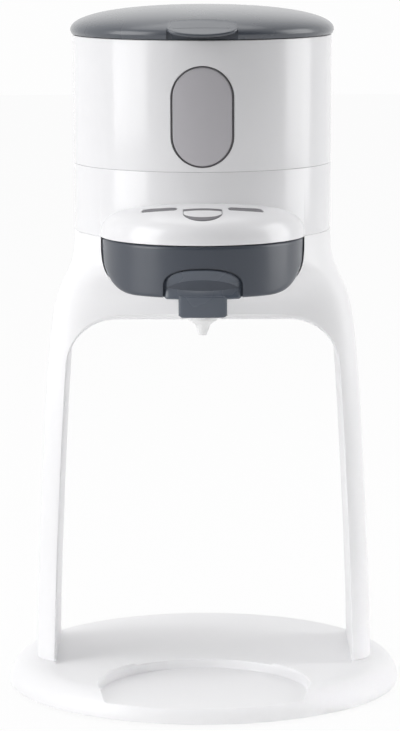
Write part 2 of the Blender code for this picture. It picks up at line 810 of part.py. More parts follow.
def make_head_floor():
    radius = SEAM_RADIUS - WALL - GAP
    plate = disc("head_floor", radius, head_bottom(), floor_top(), "white_satin", steps=ROUND_STEPS)
    front = disc(
        "floor_front", DRAWER_RADIUS - WALL - GAP, head_bottom(), floor_top(),
        centre=(0.0, -DRAWER_SETBACK), steps=ROUND_STEPS, cutter=True,
    )
    join(plate, front)
    cut(plate, disc(
        "floor_spout_hole", SPOUT_RADIUS + GAP, head_bottom() - OVERRUN, floor_top() + OVERRUN,
        centre=(0.0, -DRAWER_SETBACK), cutter=True,
    ))
    for index, centre in enumerate(head_screw_places()):
        cut(plate, disc(
            "floor_screw_hole_%d" % index, SCREW_RADIUS + GAP,
            head_bottom() - OVERRUN, floor_top() + OVERRUN, centre=centre, cutter=True,
        ))


def make_head_screws():
    for index, centre in enumerate(head_screw_places()):
        top = floor_top() + GAP + SCREW_HEAD_HEIGHT
        screw("head_screw_%d" % (index + 1), centre, top, SEAM_HEIGHT - HEAD_SCREW_REACH)


def head_radius(height):
    share = (height - SEAM_HEIGHT) / (HEAD_TOP - SEAM_HEIGHT)
    return SEAM_RADIUS + share * (TANK_SEAM_RADIUS - SEAM_RADIUS)


def brow_profile(offset, bottom, proud=0.0):
    """The brow's dome over the drawer, from its top down to its rim."""
    points = dome(
        DRAWER_RADIUS - offset + proud, head_bottom(), BROW_HEIGHT - offset + proud, brow_square_share, 9
    )
    rim = [(DRAWER_RADIUS - offset + proud, bottom)] if bottom < head_bottom() else []
    return points + rim + [(0.0, bottom)]


def make_head_shell():
    low, high = head_bottom(), HEAD_TOP
    shell = turned(
        "head_shell",
        [(0.0, high), (head_radius(high), high), (head_radius(low), low), (0.0, low)],
        "white_gloss",
    )
    brow = turned("brow", brow_profile(0.0, low), centre=(0.0, -DRAWER_SETBACK), cutter=True)
    hollow = turned(
        "head_hollow",
        [
            (0.0, high - WALL), (head_radius(high) - WALL, high - WALL),
            (head_radius(low) - WALL, low - OVERRUN), (0.0, low - OVERRUN),
        ],
        cutter=True,
    )
    brow_hollow = turned(
        "brow_hollow", brow_profile(WALL, low - OVERRUN), centre=(0.0, -DRAWER_SETBACK), cutter=True,
    )
    join(shell, brow)
    port = disc(
        "port_hole", PORT_COLLAR_RADIUS + GAP + GAP, high - WALL - OVERRUN, high + OVERRUN,
        centre=(0.0, PORT_SETBACK), cutter=True,
    )
    cut(shell, hollow, brow_hollow, port)
    for name, outline in key_outlines(GAP).items():
        low = head_bottom() + BROW_HEIGHT / 4
        cut(shell, prism(name + "_hole", outline, low, HEAD_TOP, "Z", cutter=True))


def key_outlines(gap):
    """Each key seen from above."""
    back = -DRAWER_SETBACK - KEY_BACK
    half = KEY_HALF_WIDTH + gap
    front = arc((0.0, back), half, 0, -180, 13, (KEY_DEPTH + gap) / half)
    centre = [(half, back + gap)] * (gap > 0) + front + [(-half, back + gap)] * (gap > 0)
    outlines = {"key_centre": centre}
    for side, word in ((-1, "left"), (1, "right")):
        inner = np.array([side * BAR_INNER_X, -DRAWER_SETBACK - BAR_INNER_REACH])
        outer = np.array([side * BAR_OUTER_X, -DRAWER_SETBACK - BAR_OUTER_REACH])
        outlines["key_" + word] = pill_outline(inner, outer, BAR_HALF_WIDTH + gap)
    return outlines


def pill_outline(first, last, radius):
    """A strip with round ends between two points."""
    heading = math.degrees(math.atan2(last[1] - first[1], last[0] - first[0]))
    end = arc(last, radius, heading - 90, heading + 90, 7)
    return end + arc(first, radius, heading + 90, heading + 270, 7)


def key_middle(outline):
    points = np.array(outline)
    return (points.min(axis=0) + points.max(axis=0)) / 2


def switch_bottom():
    return floor_top() + GAP + BOARD_THICKNESS + GAP


def make_keys():
    bottom = switch_bottom() + SWITCH_HEIGHT + KEY_TRAVEL + GAP / 2
    colours = {"key_left": "key_grey", "key_centre": "white_gloss", "key_right": "key_grey"}
    for name, outline in key_outlines(0.0).items():
        key = prism(name, outline, bottom, HEAD_TOP, "Z", colours[name])
        shape = turned(
            name + "_face", brow_profile(0.0, head_bottom(), KEY_PROUD),
            centre=(0.0, -DRAWER_SETBACK), cutter=True,
        )
        keep(key, shape)
        middle = key_middle(outline)
        box(
            "switch_" + name.split("_")[1],
            (middle[0] - SWITCH_WIDTH / 2, middle[1] - SWITCH_WIDTH / 2, switch_bottom()),
            (middle[0] + SWITCH_WIDTH / 2, middle[1] + SWITCH_WIDTH / 2, switch_bottom() + SWITCH_HEIGHT),
            "black_plastic",
        )


def make_control_board():
    low = floor_top() + GAP
    board = disc(
        "control_board", DRAWER_RADIUS - WALL - GAP - GAP, low, low + BOARD_THICKNESS, "board_green",
        (0.0, -DRAWER_SETBACK), ROUND_STEPS,
    )
    window = box(
        "board_outline",
        (-BOARD_HALF_WIDTH, -BASE_RADIUS, 0.0),
        (BOARD_HALF_WIDTH, -DRAWER_SETBACK - BOARD_BACK, HEAD_TOP),
        cutter=True,
    )
    keep(board, window)


def make_power_board():
    middle = bay_back() + REAR_BAY_WALL + REAR_BAY_DEPTH / 2
    half = REAR_BAY_HALF_WIDTH - POWER_BOARD_MARGIN
    box(
        "power_board",
        (-half, middle, REAR_BAY_FLOOR + GAP),
        (half, middle + BOARD_THICKNESS, SEAM_HEIGHT - POWER_BOARD_MARGIN),
        "board_green",
    )


def port_centre():
    return (0.0, PORT_SETBACK)


def cup_inner():
    return PORT_COLLAR_RADIUS + GAP


def cup_top():
    return HEAD_TOP - WALL - GAP


def collar_bottom():
    return tank_bottom() - PORT_COLLAR_LENGTH


def make_inlet_cup():
    outer = cup_inner() + CUP_WALL
    ledge = collar_bottom() - GAP - SEAL_HEIGHT - GAP
    low = floor_top() + GAP
    cup = turned(
        "inlet_cup",
        [
            (0.0, collar_bottom() + GAP), (PIN_RADIUS, collar_bottom() + GAP),
            (PIN_RADIUS, ledge - CUP_LEDGE), (CUP_BORE, ledge - CUP_LEDGE),
            (CUP_BORE, ledge), (cup_inner(), ledge), (cup_inner(), cup_top()),
            (outer, cup_top()), (outer, low), (0.0, low),
        ],
        "white_satin", port_centre(), SMALL_STEPS,
    )
    return cup


def make_dock_seal():
    top = collar_bottom() - GAP
    outer = cup_inner() - GAP
    low = top - SEAL_HEIGHT
    ring(
        "dock_seal", [(outer, top), (outer, low), (CUP_BORE, low), (CUP_BORE, top)],
        "clear_silicone", port_centre(), SMALL_STEPS,
    )


def pump_centre():
    return (-PUMP_OFFSET, PUMP_SETBACK)


def heater_centre():
    return (HEATER_OFFSET, HEATER_SETBACK)


def make_pump():
    low = floor_top() + GAP
    top = low + PUMP_HEIGHT
    turned(
        "pump",
        [
            (0.0, top), (PUMP_RADIUS - PUMP_LIP, top), (PUMP_RADIUS - PUMP_LIP, top - PUMP_LIP),
            (PUMP_RADIUS, top - PUMP_LIP),
            (PUMP_RADIUS, low), (0.0, low),
        ],
        "black_plastic", pump_centre(), SMALL_STEPS,
    )


def make_heater():
    low = floor_top() + GAP
    pitch = HEATER_HEIGHT / (2 * HEATER_FINS - 1)
    profile = [(0.0, low + HEATER_HEIGHT)]
    for index in range(2 * HEATER_FINS - 1):
        radius = HEATER_RADIUS if index % 2 == 0 else HEATER_CORE_RADIUS
        top = low + HEATER_HEIGHT - index * pitch
        profile += [(radius, top), (radius, top - pitch)]
    turned("heater_block", profile + [(0.0, low)], "aluminium", heater_centre(), SMALL_STEPS)
    top = low + HEATER_HEIGHT + GAP
    disc("thermostat", THERMOSTAT_RADIUS, top, top + THERMOSTAT_HEIGHT, "black_plastic", heater_centre())


def between(first, last, first_gap, last_gap):
    """The two points that a hose joins, each clear of the round piece it meets."""
    first, last = np.array(first), np.array(last)
    way = (last - first) / np.linalg.norm(last - first)
    return first + way * first_gap, last - way * last_gap


def make_hoses():
    height = floor_top() + GAP + HOSE_HEIGHT
    cup_outer = cup_inner() + CUP_WALL
    start, end = between(port_centre(), pump_centre(), cup_outer + GAP, PUMP_RADIUS + GAP)
    tube("hose_inlet", [(*start, height), (*end, height)], HOSE_RADIUS, "clear_silicone")
    post = HOSE_RADIUS + GAP
    spout = (0.0, -DRAWER_SETBACK)
    start, end = between(heater_centre(), spout, HEATER_RADIUS + GAP, post + GAP)
    tube("hose_outlet", [(*start, height), (*end, height)], HOSE_RADIUS, "clear_silicone")
    front = PUMP_SETBACK - PUMP_RADIUS - GAP
    low = front - HOSE_BEND
    rise = (HEATER_SETBACK - GAP - low) / 2
    across = HEATER_OFFSET - HEATER_RADIUS - GAP - HOSE_BEND
    down = arc((HOSE_BEND - PUMP_OFFSET, front), HOSE_BEND, 180, 270, 6)
    back = arc((across - HOSE_BEND, low + rise), HOSE_BEND, -90, 0, 6, rise / HOSE_BEND)
    turn = arc((across + HOSE_BEND, low + rise), HOSE_BEND, 180, 90, 6, rise / HOSE_BEND)
    route = [(x, y, height) for x, y in down + back + turn[1:]]
    tube("hose_pressure", route, HOSE_RADIUS, "clear_silicone")


def make_spout():
    low = floor_top() + GAP
    flange = SPOUT_RADIUS + SPOUT_RADIUS / 2
    flange_top = low + FLOOR_THICKNESS / 2
    top = low + SPOUT_POST_HEIGHT
    turned(
        "outlet_spout",
        [
            (0.0, top), (HOSE_RADIUS, top), (HOSE_RADIUS, flange_top), (flange, flange_top), (flange, low),
            (SPOUT_RADIUS, low), (SPOUT_RADIUS, head_bottom()), (0.0, head_bottom()),
        ],
        "white_satin", (0.0, -DRAWER_SETBACK), SMALL_STEPS,
    )


def tank_bottom():
    return HEAD_TOP + GAP


def tank_radius(height):
    share = (height - tank_bottom()) / (TANK_TOP - tank_bottom())
    return TANK_SEAM_RADIUS + share * (TANK_TOP_RADIUS - TANK_SEAM_RADIUS)


def stadium(half_width, low, high):
    """The upright window outline seen from the front."""
    top = arc((0.0, high - half_width), half_width, 0, 180, 13)
    return top + arc((0.0, low + half_width), half_width, 180, 360, 13)


def window_prism(name, shrink):
    outline = stadium(WINDOW_HALF_WIDTH - shrink, WINDOW_BOTTOM + shrink, WINDOW_TOP - shrink)
    return prism(name, outline, -BASE_RADIUS, -TANK_SEAM_RADIUS / 2, "Y", cutter=True)


def make_tank():
    low, high = tank_bottom(), TANK_TOP
    floor = low + TANK_FLOOR
    edge = WALL / 3
    tank = turned(
        "tank",
        [
            (0.0, floor), (tank_radius(floor) - WALL, floor), (tank_radius(high) - WALL, high),
            (tank_radius(high), high),
            (tank_radius(low + edge), low + edge), (tank_radius(low) - edge, low), (0.0, low),
        ],
        "white_gloss",
    )
    collar = disc(
        "tank_collar", PORT_COLLAR_RADIUS, collar_bottom(), low + edge, centre=port_centre(), cutter=True,
    )
    join(tank, collar)
    outlet = disc(
        "tank_outlet", PORT_BORE, collar_bottom() - OVERRUN, floor + OVERRUN,
        centre=port_centre(), cutter=True,
    )
    for word, side in (("left", -1), ("right", 1)):
        join(tank, hinge_ear("ear_" + word, side))
    pin_hole = rod_x(
        "ear_hole", HINGE_PIN_RADIUS + GAP, -LID_RADIUS, LID_RADIUS, HINGE_SETBACK, HINGE_HEIGHT, cutter=True,
    )
    cut(tank, outlet, window_prism("window_opening", 0.0), pin_hole)


def hinge_ear(name, side):
    """A hinge ear on the tank's back: a tapered plate with a round end, seen from the side."""
    inner = KNUCKLE_HALF_WIDTH + GAP
    start, end = sorted((side * inner, side * (inner + EAR_THICKNESS)))
    root = TANK_TOP_RADIUS - WALL / 2
    crown = arc((HINGE_SETBACK, HINGE_HEIGHT), EAR_RADIUS, 0, 180, 9)
    outline = crown + [(root, TANK_TOP - EAR_RADIUS), (root, TANK_TOP - EAR_FOOT)]
    ear = prism(name, outline, start, end, "Z", cutter=True)
    ear.rotation_euler = (math.radians(90), 0.0, math.radians(90))
    ear.location = ((start + end) / 2, 0.0, 0.0)
    return ear


def wall_ring(name, inner_offset, outer_offset, colour):
    """A ring that follows the tank's wall between two depths under its surface."""
    low, high = WINDOW_BOTTOM - OVERRUN, WINDOW_TOP + OVERRUN
    return ring(
        name,
        [
            (tank_radius(high) - outer_offset, high), (tank_radius(low) - outer_offset, low),
            (tank_radius(low) - inner_offset, low), (tank_radius(high) - inner_offset, high),
        ],
        colour, steps=ROUND_STEPS * 2,
    )


def make_window():
    lens = wall_ring("window_lens", WALL - GAP, WINDOW_INSET, "window_grey")
    keep(lens, window_prism("lens_outline", GAP + GASKET_WIDTH + GAP))
    gasket = wall_ring("window_gasket", WALL - GAP, 0.0, "slate")
    keep(gasket, window_prism("gasket_outer", GAP))
    cut(gasket, window_prism("gasket_inner", GAP + GASKET_WIDTH))


def make_valve():
    floor = tank_bottom() + TANK_FLOOR
    top = floor + GAP + CAGE_HEIGHT
    cage = ring(
        "valve_cage",
        [
            (CAGE_RADIUS, top), (CAGE_RADIUS, floor + GAP), (CAGE_RADIUS - CAGE_WALL, floor + GAP),
            (CAGE_RADIUS - CAGE_WALL, top - CAGE_WALL), (STEM_RADIUS + GAP, top - CAGE_WALL),
            (STEM_RADIUS + GAP, top),
        ],
        "white_satin", port_centre(), SMALL_STEPS,
    )
    slot_low, slot_high = floor + CAGE_WALL + GAP, top - CAGE_WALL - GAP
    cut(
        cage,
        box(
            "cage_slot_x", (-CAGE_RADIUS - OVERRUN, PORT_SETBACK - CAGE_SLOT_WIDTH / 2, slot_low),
            (CAGE_RADIUS + OVERRUN, PORT_SETBACK + CAGE_SLOT_WIDTH / 2, slot_high), cutter=True,
        ),
        box(
            "cage_slot_y", (-CAGE_SLOT_WIDTH / 2, PORT_SETBACK - CAGE_RADIUS - OVERRUN, slot_low),
            (CAGE_SLOT_WIDTH / 2, PORT_SETBACK + CAGE_RADIUS + OVERRUN, slot_high), cutter=True,
        ),
    )
    seat = floor + POPPET_LIFT
    plate = seat + POPPET_THICKNESS
    foot = collar_bottom() + GAP + GAP
    turned(
        "valve_poppet",
        [
            (0.0, top), (STEM_RADIUS, top), (STEM_RADIUS, plate), (POPPET_RADIUS, plate),
            (POPPET_RADIUS, seat), (STEM_RADIUS, seat), (STEM_RADIUS, foot), (0.0, foot),
        ],
        "white_satin", port_centre(), SMALL_STEPS,
    )
    low = plate + GAP + SPRING_WIRE
    high = top - CAGE_WALL - GAP - SPRING_WIRE
    turns = np.linspace(0, 1, SPRING_TURNS * SPRING_POINTS + 1)
    angles = 2 * math.pi * SPRING_TURNS * turns
    line = np.column_stack([
        SPRING_RADIUS * np.cos(angles),
        SPRING_RADIUS * np.sin(angles) + PORT_SETBACK,
        low + turns * (high - low),
    ])
    tube("valve_spring", line, SPRING_WIRE, "steel", 1)


def make_hinge_pin():
    half = KNUCKLE_HALF_WIDTH + GAP + EAR_THICKNESS
    rod_x("hinge_pin", HINGE_PIN_RADIUS, -half, half, HINGE_SETBACK, HINGE_HEIGHT, "steel")


def make_lid():
    skirt_outer = TANK_TOP_RADIUS - WALL - GAP
    skirt_inner = skirt_outer - SKIRT_WALL
    outer = dome(LID_RADIUS, LID_WIDEST, LID_TOP - LID_WIDEST, lid_square_share, 10)
    ceiling = dome(skirt_inner, LID_WIDEST, LID_TOP - LID_WIDEST - LID_WALL, lid_square_share, 6)
    profile = outer + [
        (LID_EDGE_RADIUS, LID_EDGE), (skirt_outer, LID_EDGE), (skirt_outer, LID_EDGE - SKIRT_DEPTH),
        (skirt_inner, LID_EDGE - SKIRT_DEPTH), *ceiling[::-1],
    ]
    lid = turned("lid", profile, "slate")
    oval = arc((0.0, 0.0), TAB_HALF_WIDTH, 0, 360, 25, TAB_LENGTH / TAB_HALF_WIDTH)[:-1]
    tab = prism("lid_tab", oval, -TAB_THICKNESS / 2, TAB_THICKNESS / 2, "Z", cutter=True)
    tab.rotation_euler = (math.radians(TAB_TILT), 0.0, 0.0)
    tab.location = (0.0, -TAB_ROOT, LID_WIDEST + TAB_RISE)
    below = LID_EDGE - SKIRT_DEPTH - OVERRUN
    inside = turned(
        "lid_inside",
        [*ceiling, (skirt_inner, below), (0.0, below)],
        cutter=True,
    )
    notch = box(
        "finger_notch",
        (-TAB_HALF_WIDTH + GAP, -LID_RADIUS - OVERRUN, LID_EDGE - OVERRUN),
        (TAB_HALF_WIDTH - GAP, -LID_RADIUS + NOTCH_DEPTH, LID_WIDEST + NOTCH_RISE),
        cutter=True,
    )
    half = KNUCKLE_HALF_WIDTH
    knuckle = rod_x("lid_knuckle", KNUCKLE_RADIUS, -half, half, HINGE_SETBACK, HINGE_HEIGHT, cutter=True)
    bore = rod_x(
        "knuckle_bore", HINGE_PIN_RADIUS + GAP, -LID_RADIUS, LID_RADIUS, HINGE_SETBACK, HINGE_HEIGHT,
        cutter=True,
    )
    join(lid, knuckle)
    for side in (-1, 1):
        start, end = sorted((side * half, side * (half + EAR_THICKNESS + GAP + GAP)))
        clearance = box(
            "ear_clearance_%s" % ("left" if side < 0 else "right"),
            (start, HINGE_SETBACK - EAR_RADIUS - GAP, LID_EDGE - OVERRUN),
            (end, LID_RADIUS + EAR_RADIUS, LID_TOP),
            cutter=True,
        )
        cut(lid, clearance)
    cut(tab, inside)
    cut(lid, notch)
    join(lid, tab)
    cut(lid, bore)


def make_tray():
    """The funnel tray: a round cup with the bay's lower corners, a keel, runners and wings."""
    centre = (0.0, -DRAWER_SETBACK)
    outer = DRAWER_RADIUS - FASCIA_THICKNESS - GAP
    inner = outer - TRAY_WALL
    floor = TRAY_FLOOR + TRAY_WALL
    tray = disc("drawer_tray", outer, TRAY_FLOOR, TRAY_TOP, "slate", centre, ROUND_STEPS)
    keep(tray, prism("tray_outline", bay_outline(0.0), -BASE_RADIUS, BASE_RADIUS, "Y", cutter=True))
    cavity = turned(
        "tray_cavity",
        [
            (0.0, TRAY_TOP + OVERRUN), (inner, TRAY_TOP + OVERRUN), (inner, floor + TRAY_SLOPE),
            (NOZZLE_RADIUS, floor), (0.0, floor),
        ],
        centre=centre, cutter=True,
    )
    corners = prism("cavity_outline", bay_outline(-TRAY_WALL), -BASE_RADIUS, BASE_RADIUS, "Y", cutter=True)
    keep(cavity, corners)
    keel_top = TRAY_FLOOR + TRAY_WALL / 2
    keel = prism("tray_keel", keel_outline(0.0), TONGUE_BOTTOM + GAP, keel_top, "Z", cutter=True)
    join(tray, keel)
    back = -DRAWER_SETBACK + WING_LENGTH
    for side, word in ((-1, "left"), (1, "right")):
        start, end = sorted((side * RUNNER_HALF_SPACING, side * (RUNNER_HALF_SPACING - RUNNER_WIDTH)))
        runner = box(
            "runner_" + word,
            (start, -DRAWER_SETBACK - RUNNER_HALF_LENGTH, DRAWER_BOTTOM),
            (end, -DRAWER_SETBACK + RUNNER_HALF_LENGTH, keel_top),
            cutter=True,
        )
        start, end = sorted((side * RUNNER_HALF_SPACING, side * DRAWER_RADIUS))
        wing = box(
            "wing_" + word,
            (start, -DRAWER_SETBACK + GAP, TRAY_TOP - WING_HEIGHT),
            (end, back, TRAY_TOP),
            cutter=True,
        )
        join(tray, runner, wing)
    hole = disc(
        "tray_hole", NOZZLE_NECK_RADIUS + GAP, TONGUE_BOTTOM - OVERRUN, floor + OVERRUN,
        centre=centre, cutter=True,
    )
    cut(tray, cavity, hole)


def pad_outline(gap, lip):
    """The upper pad of the grip seen from the front: straight sides, an arched top and a lip below."""
    half = PAD_HALF_WIDTH + gap
    shoulder = PAD_SHOULDER
    crown = PAD_TOP + gap - shoulder
    angles = np.radians(np.linspace(0, 180, 13))
    top = [
        (half * math.copysign(abs(math.cos(a)) ** pad_square_share, math.cos(a)),
         shoulder + crown * math.sin(a) ** pad_square_share)
        for a in angles
    ]
    low = DRAWER_BOTTOM - gap - lip
    return top + [(-half, low), (half, low)]


def tongue_outline():
    """The lower tongue of the grip seen from the front, with small round lower corners."""
    half = TONGUE_HALF_WIDTH
    corner = arc((half - TONGUE_CORNER, TONGUE_BOTTOM + TONGUE_CORNER), TONGUE_CORNER, -90, 0, 5)
    side = corner + [(half, DRAWER_BOTTOM + TONGUE_CORNER)]
    return side + [(-across, height) for across, height in reversed(side)]


def fascia_ring(name, bottom, top, thickness, colour=None, cutter=False):
    """A ring round the drawer's own centre, as tall as asked."""
    outer = DRAWER_RADIUS
    return ring(
        name,
        [(outer, top), (outer, bottom), (outer - thickness, bottom), (outer - thickness, top)],
        colour, (0.0, -DRAWER_SETBACK), ROUND_STEPS, cutter,
    )


def make_fascia():
    fascia = fascia_ring(
        "drawer_front", DRAWER_BOTTOM, SEAM_HEIGHT - GAP, FASCIA_THICKNESS, "slate"
    )
    outline = prism(
        "fascia_outline", bay_outline(0.0), -BASE_RADIUS, -DRAWER_SETBACK - GAP, "Y", cutter=True
    )
    keep(fascia, outline)
    front = -DRAWER_SETBACK - GAP
    cut(fascia, prism("grip_opening", pad_outline(GAP, 0.0), -BASE_RADIUS, front, "Y", cutter=True))


def make_grip():
    front = -DRAWER_SETBACK - GAP
    grip = fascia_ring("drawer_grip", DRAWER_BOTTOM - PAD_LIP, PAD_TOP, FASCIA_THICKNESS, "slate")
    keep(grip, prism("pad_outline", pad_outline(0.0, PAD_LIP), -BASE_RADIUS, front, "Y", cutter=True))
    tongue = fascia_ring("grip_tongue", TONGUE_BOTTOM, DRAWER_BOTTOM + GAP, TONGUE_THICKNESS, cutter=True)
    keep(tongue, prism("tongue_outline", tongue_outline(), -BASE_RADIUS, front, "Y", cutter=True))
    join(grip, tongue)


def make_nozzle():
    low = TONGUE_BOTTOM
    top = low + NOZZLE_NECK_HEIGHT
    ring(
        "nozzle",
        [
            (NOZZLE_NECK_RADIUS, top), (NOZZLE_NECK_RADIUS, low), (NOZZLE_RADIUS, low),
            (NOZZLE_RADIUS, NOZZLE_SHOULDER), (NOZZLE_CONE_RADIUS, NOZZLE_SHOULDER - NOZZLE_STEP),
            (NOZZLE_TIP_RADIUS, NOZZLE_TIP), (NOZZLE_BORE, NOZZLE_TIP),
            (NOZZLE_BORE, NOZZLE_SHOULDER), (NOZZLE_NECK_RADIUS / 2, top),
        ],
        "clear_silicone", (0.0, -DRAWER_SETBACK), SMALL_STEPS,
    )


def hang(name, axis_place, *nodes):
    """An empty on a joint's axis that carries the pieces which move on that joint."""
    empty = bpy.data.objects.new(name, None)
    empty.empty_display_size = HINGE_PIN_RADIUS
    empty.location = axis_place
    PARTS.objects.link(empty)
    bpy.context.view_layer.update()
    for node in nodes:
        moved = bpy.data.objects[node]
        moved.parent = empty
        moved.matrix_parent_inverse = empty.matrix_world.inverted()
    return empty


def hang_moving_pieces():
    """The lid on its hinge and the valve on its port ride with the tank; drawer and keys stand alone."""
    tank = hang(
        "tank_axis", (0.0, 0.0, tank_bottom()),
        "tank", "window_lens", "window_gasket", "valve_cage", "valve_spring", "hinge_pin",
    )
    lid = hang("lid_axis", (0.0, HINGE_SETBACK, HINGE_HEIGHT), "lid")
    valve = hang("valve_axis", (*port_centre(), tank_bottom()), "valve_poppet")
    for empty in (lid, valve):
        empty.parent = tank
        empty.matrix_parent_inverse = tank.matrix_world.inverted()
    hang(
        "drawer_axis", (0.0, -DRAWER_SETBACK, DRAWER_BOTTOM),
        "drawer_tray", "drawer_front", "drawer_grip", "nozzle",
    )
    for name, outline in key_outlines(0.0).items():
        hang(name + "_axis", (*key_middle(outline), switch_bottom() + SWITCH_HEIGHT), name)


def main():
    make_base()
    make_cover()
    make_feet()
    make_base_screws()
    make_gland()
    make_arch()
    make_leg_liners()
    make_head_floor()
    make_head_screws()
    make_head_shell()
    make_keys()
    make_control_board()
    make_power_board()
    make_inlet_cup()
    make_dock_seal()
    make_pump()
    make_heater()
    make_hoses()
    make_spout()
    make_tank()
    make_window()
    make_valve()
    make_hinge_pin()
    make_lid()
    make_tray()
    make_fascia()
    make_grip()
    make_nozzle()
    hang_moving_pieces()


clear_scene()
PARTS = new_collection("bottle_warmer")
CUTTERS = new_collection("cutters", hidden=True)
main()
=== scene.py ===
"""The looks of a bottle warmer: smooth pieces, finishes, floor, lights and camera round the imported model."""

import json
import math

import bmesh
import bpy
import numpy as np
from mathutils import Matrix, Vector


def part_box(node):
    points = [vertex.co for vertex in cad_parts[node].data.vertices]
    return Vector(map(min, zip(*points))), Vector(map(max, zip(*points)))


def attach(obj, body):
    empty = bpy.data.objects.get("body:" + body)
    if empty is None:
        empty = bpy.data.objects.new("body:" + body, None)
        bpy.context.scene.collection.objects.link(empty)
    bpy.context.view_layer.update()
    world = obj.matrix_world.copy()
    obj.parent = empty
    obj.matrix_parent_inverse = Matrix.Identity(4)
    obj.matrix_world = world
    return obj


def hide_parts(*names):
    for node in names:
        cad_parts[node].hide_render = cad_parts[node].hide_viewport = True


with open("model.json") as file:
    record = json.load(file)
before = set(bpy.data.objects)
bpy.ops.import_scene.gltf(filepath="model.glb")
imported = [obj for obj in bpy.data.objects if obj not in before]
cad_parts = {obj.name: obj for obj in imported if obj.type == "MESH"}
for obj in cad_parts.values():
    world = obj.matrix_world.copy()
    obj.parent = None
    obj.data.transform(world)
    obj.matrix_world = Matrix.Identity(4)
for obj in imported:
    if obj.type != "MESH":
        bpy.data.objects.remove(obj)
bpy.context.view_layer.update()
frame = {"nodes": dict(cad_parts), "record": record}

bl_info = {
    "name": "Bottle warmer",
    "version": (1, 0, 0),
    "blender": (4, 5, 0),
    "location": "View3D > Sidebar > Warmer",
    "description": "Builds the visible pieces and finishes of a bottle warmer round its packed model",
    "category": "Add Mesh",
}

MM = 0.001
TURN = 2 * math.pi
ROUND = 256
CUT, ADD = "DIFFERENCE", "UNION"

# Shapes are in millimetres: X to the right, Y to the back, Z up. Cutters run a little past what they cut.
# GAP is the clearance between neighbours, HAIR a hair's breadth and FAR a cutter's far end.
GAP, HAIR, FAR = 0.3, 0.05, 120.0
# Base
BASE_R, BASE_TOP, BASE_LOW, BASE_EDGE = 90.0, 12.8, 1.2, 11.3
BASE_WALL, BASE_HOLLOW = 2.5, 3.9
RECESS_R, RECESS_Y, RECESS_FLOOR, RECESS_LIP = 47.0, -60.0, 7.8, 0.9
STEP_Z, STEP_FRONT = 12.0, -24.3
GLAND_HALF, GLAND_Y, GLAND_LOW = 3.9, 84.5, 3.7
# Arch
SEAM_Z, SEAM_R, SEAM_EDGE, FOOT_HALF = 210.8, 58.2, 0.25, 77.3
LEG_DEPTH, LEG_Y, LEG_SQUARE, LEG_THICK = 35.0, 10.0, 5.0, 9.4
TUNNEL_TOP, TUNNEL_CORNER = 171.7, 23.0
# Where its sections begin to lie closer, how deep the leg covers sit, and the power board's bay in the back
CLOSER_Z, COVER_POCKET = 160.0, 2.3
REAR_HALF, REAR_FRONT, REAR_BACK, REAR_LOW = 36.0, 21.2, 37.2, 186.0
# Head and tank
HEAD_LOW, HEAD_TOP, WALL = 210.85, 241.2, 2.4
TANK_LOW, TANK_TOP, TANK_R_LOW, TANK_R_TOP = 241.25, 298.7, 58.4, 58.6
PORT_Y, PORT_R, PORT_ROOM, OUTLET_R, COLLAR_LOW = 22.0, 7.5, 0.6, 5.0, 236.7
WINDOW_HALF, WINDOW_LOW, WINDOW_HIGH = 14.0, 243.1, 287.7
LENS_INSET, LENS_FACE, LENS_REAR, LENS_EDGE = 0.62, -0.35, -2.2, 0.4
RIM_INSET, RIM_SUNK, RIM_HALF_OUT, RIM_HALF_WIDE = 0.3, 0.55, 0.45, 0.26
# Brow and keys: places out from the brow's middle, and how hole, rim and cap differ from a key's outline. The
# rim is a grey band flush with the cap: painted shade of the groove round it
BROW_HIGH, BROW_SQUARE = 19.2, 2.6
KEY_BACK, KEY_SIDE, KEY_FRONT, KEY_HALF, KEY_EDGE, KEY_ROOM = 35.0, 37.2, 41.4, 8.4, 0.3, 4.8
STRIP_HALF, STRIP_FROM, STRIP_TO = 1.1, 12.3, 25.4
STRIP_ACROSS = (11.8, 15.5, 19.0, 22.5, 25.6)
STRIP_OUT = (33.0, 32.1, 31.0, 29.5, 27.9)
HOLE_GAP, HOLE_WIDE, KEY_WIDE, CAP_ROOM, CAP_GAP, CAP_WIDE = 0.25, 0.9, 0.65, -0.85, -0.03, -0.88
# Drawer under the brow
DRAWER_R, DRAWER_Y, DRAWER_LOW, DRAWER_HIGH = 46.1, -29.4, 188.5, 210.5
FACE_R, FACE_Y, FACE_LOW, FACE_THICK = 45.3, -30.2, 187.7, 2.1
CORNER_WIDE, CORNER_HIGH, CORNER_SQUARE = 18.0, 23.0, 2.9
BAY_GAP, BAY_SIDE_SHARE, BAY_SPREAD = 0.35, 0.04, 1.02
SIDE_FROM, SIDE_OVER, SIDE_BACK = 54.0, 17.1, 5.0
BACKING_FACE, BACKING_REAR, BACKING_RIM, BACKING_LOW = -1.9, -2.6, 1.0, 0.25
PAD_HALF, PAD_SHOULDER, PAD_TOP, PAD_SQUARE, PAD_LOW = 17.3, 192.9, 200.9, 0.85, 187.2
PAD_OPENING, PAD_INSET, PAD_CORNER, PAD_EDGE, PAD_THICK, PAD_PROUD = 0.1, -0.6, 1.3, 0.8, 4.6, 2.0
DISH_BELOW, DISH_ABOVE, DISH_BELOW_POWER, DISH_ABOVE_POWER, DISH_BOW = 0.36, 0.64, 1.6, 0.9, 0.4
TONGUE_HALF, TONGUE_LOW, TONGUE_TOP, TONGUE_THICK = 10.6, 179.2, PAD_LOW + 1.6, 3.6
TONGUE_CORNER, TONGUE_EDGE = 2.2, 0.7
# Nozzle: radius and height round its wall, and the roundings of the corners after the first
NOZZLE = (
    (2.1, 186.2), (4.2, 186.2), (4.2, TONGUE_LOW), (6.6, TONGUE_LOW), (6.6, 172.2), (3.5, 170.4),
    (1.7, 165.4), (1.1, 165.4), (1.1, 170.5), (2.1, 186.2),
)
NOZZLE_ROUND = (0.2, 0, 0.3, 0.8, 0.8, 0.3, 0.2, 0)
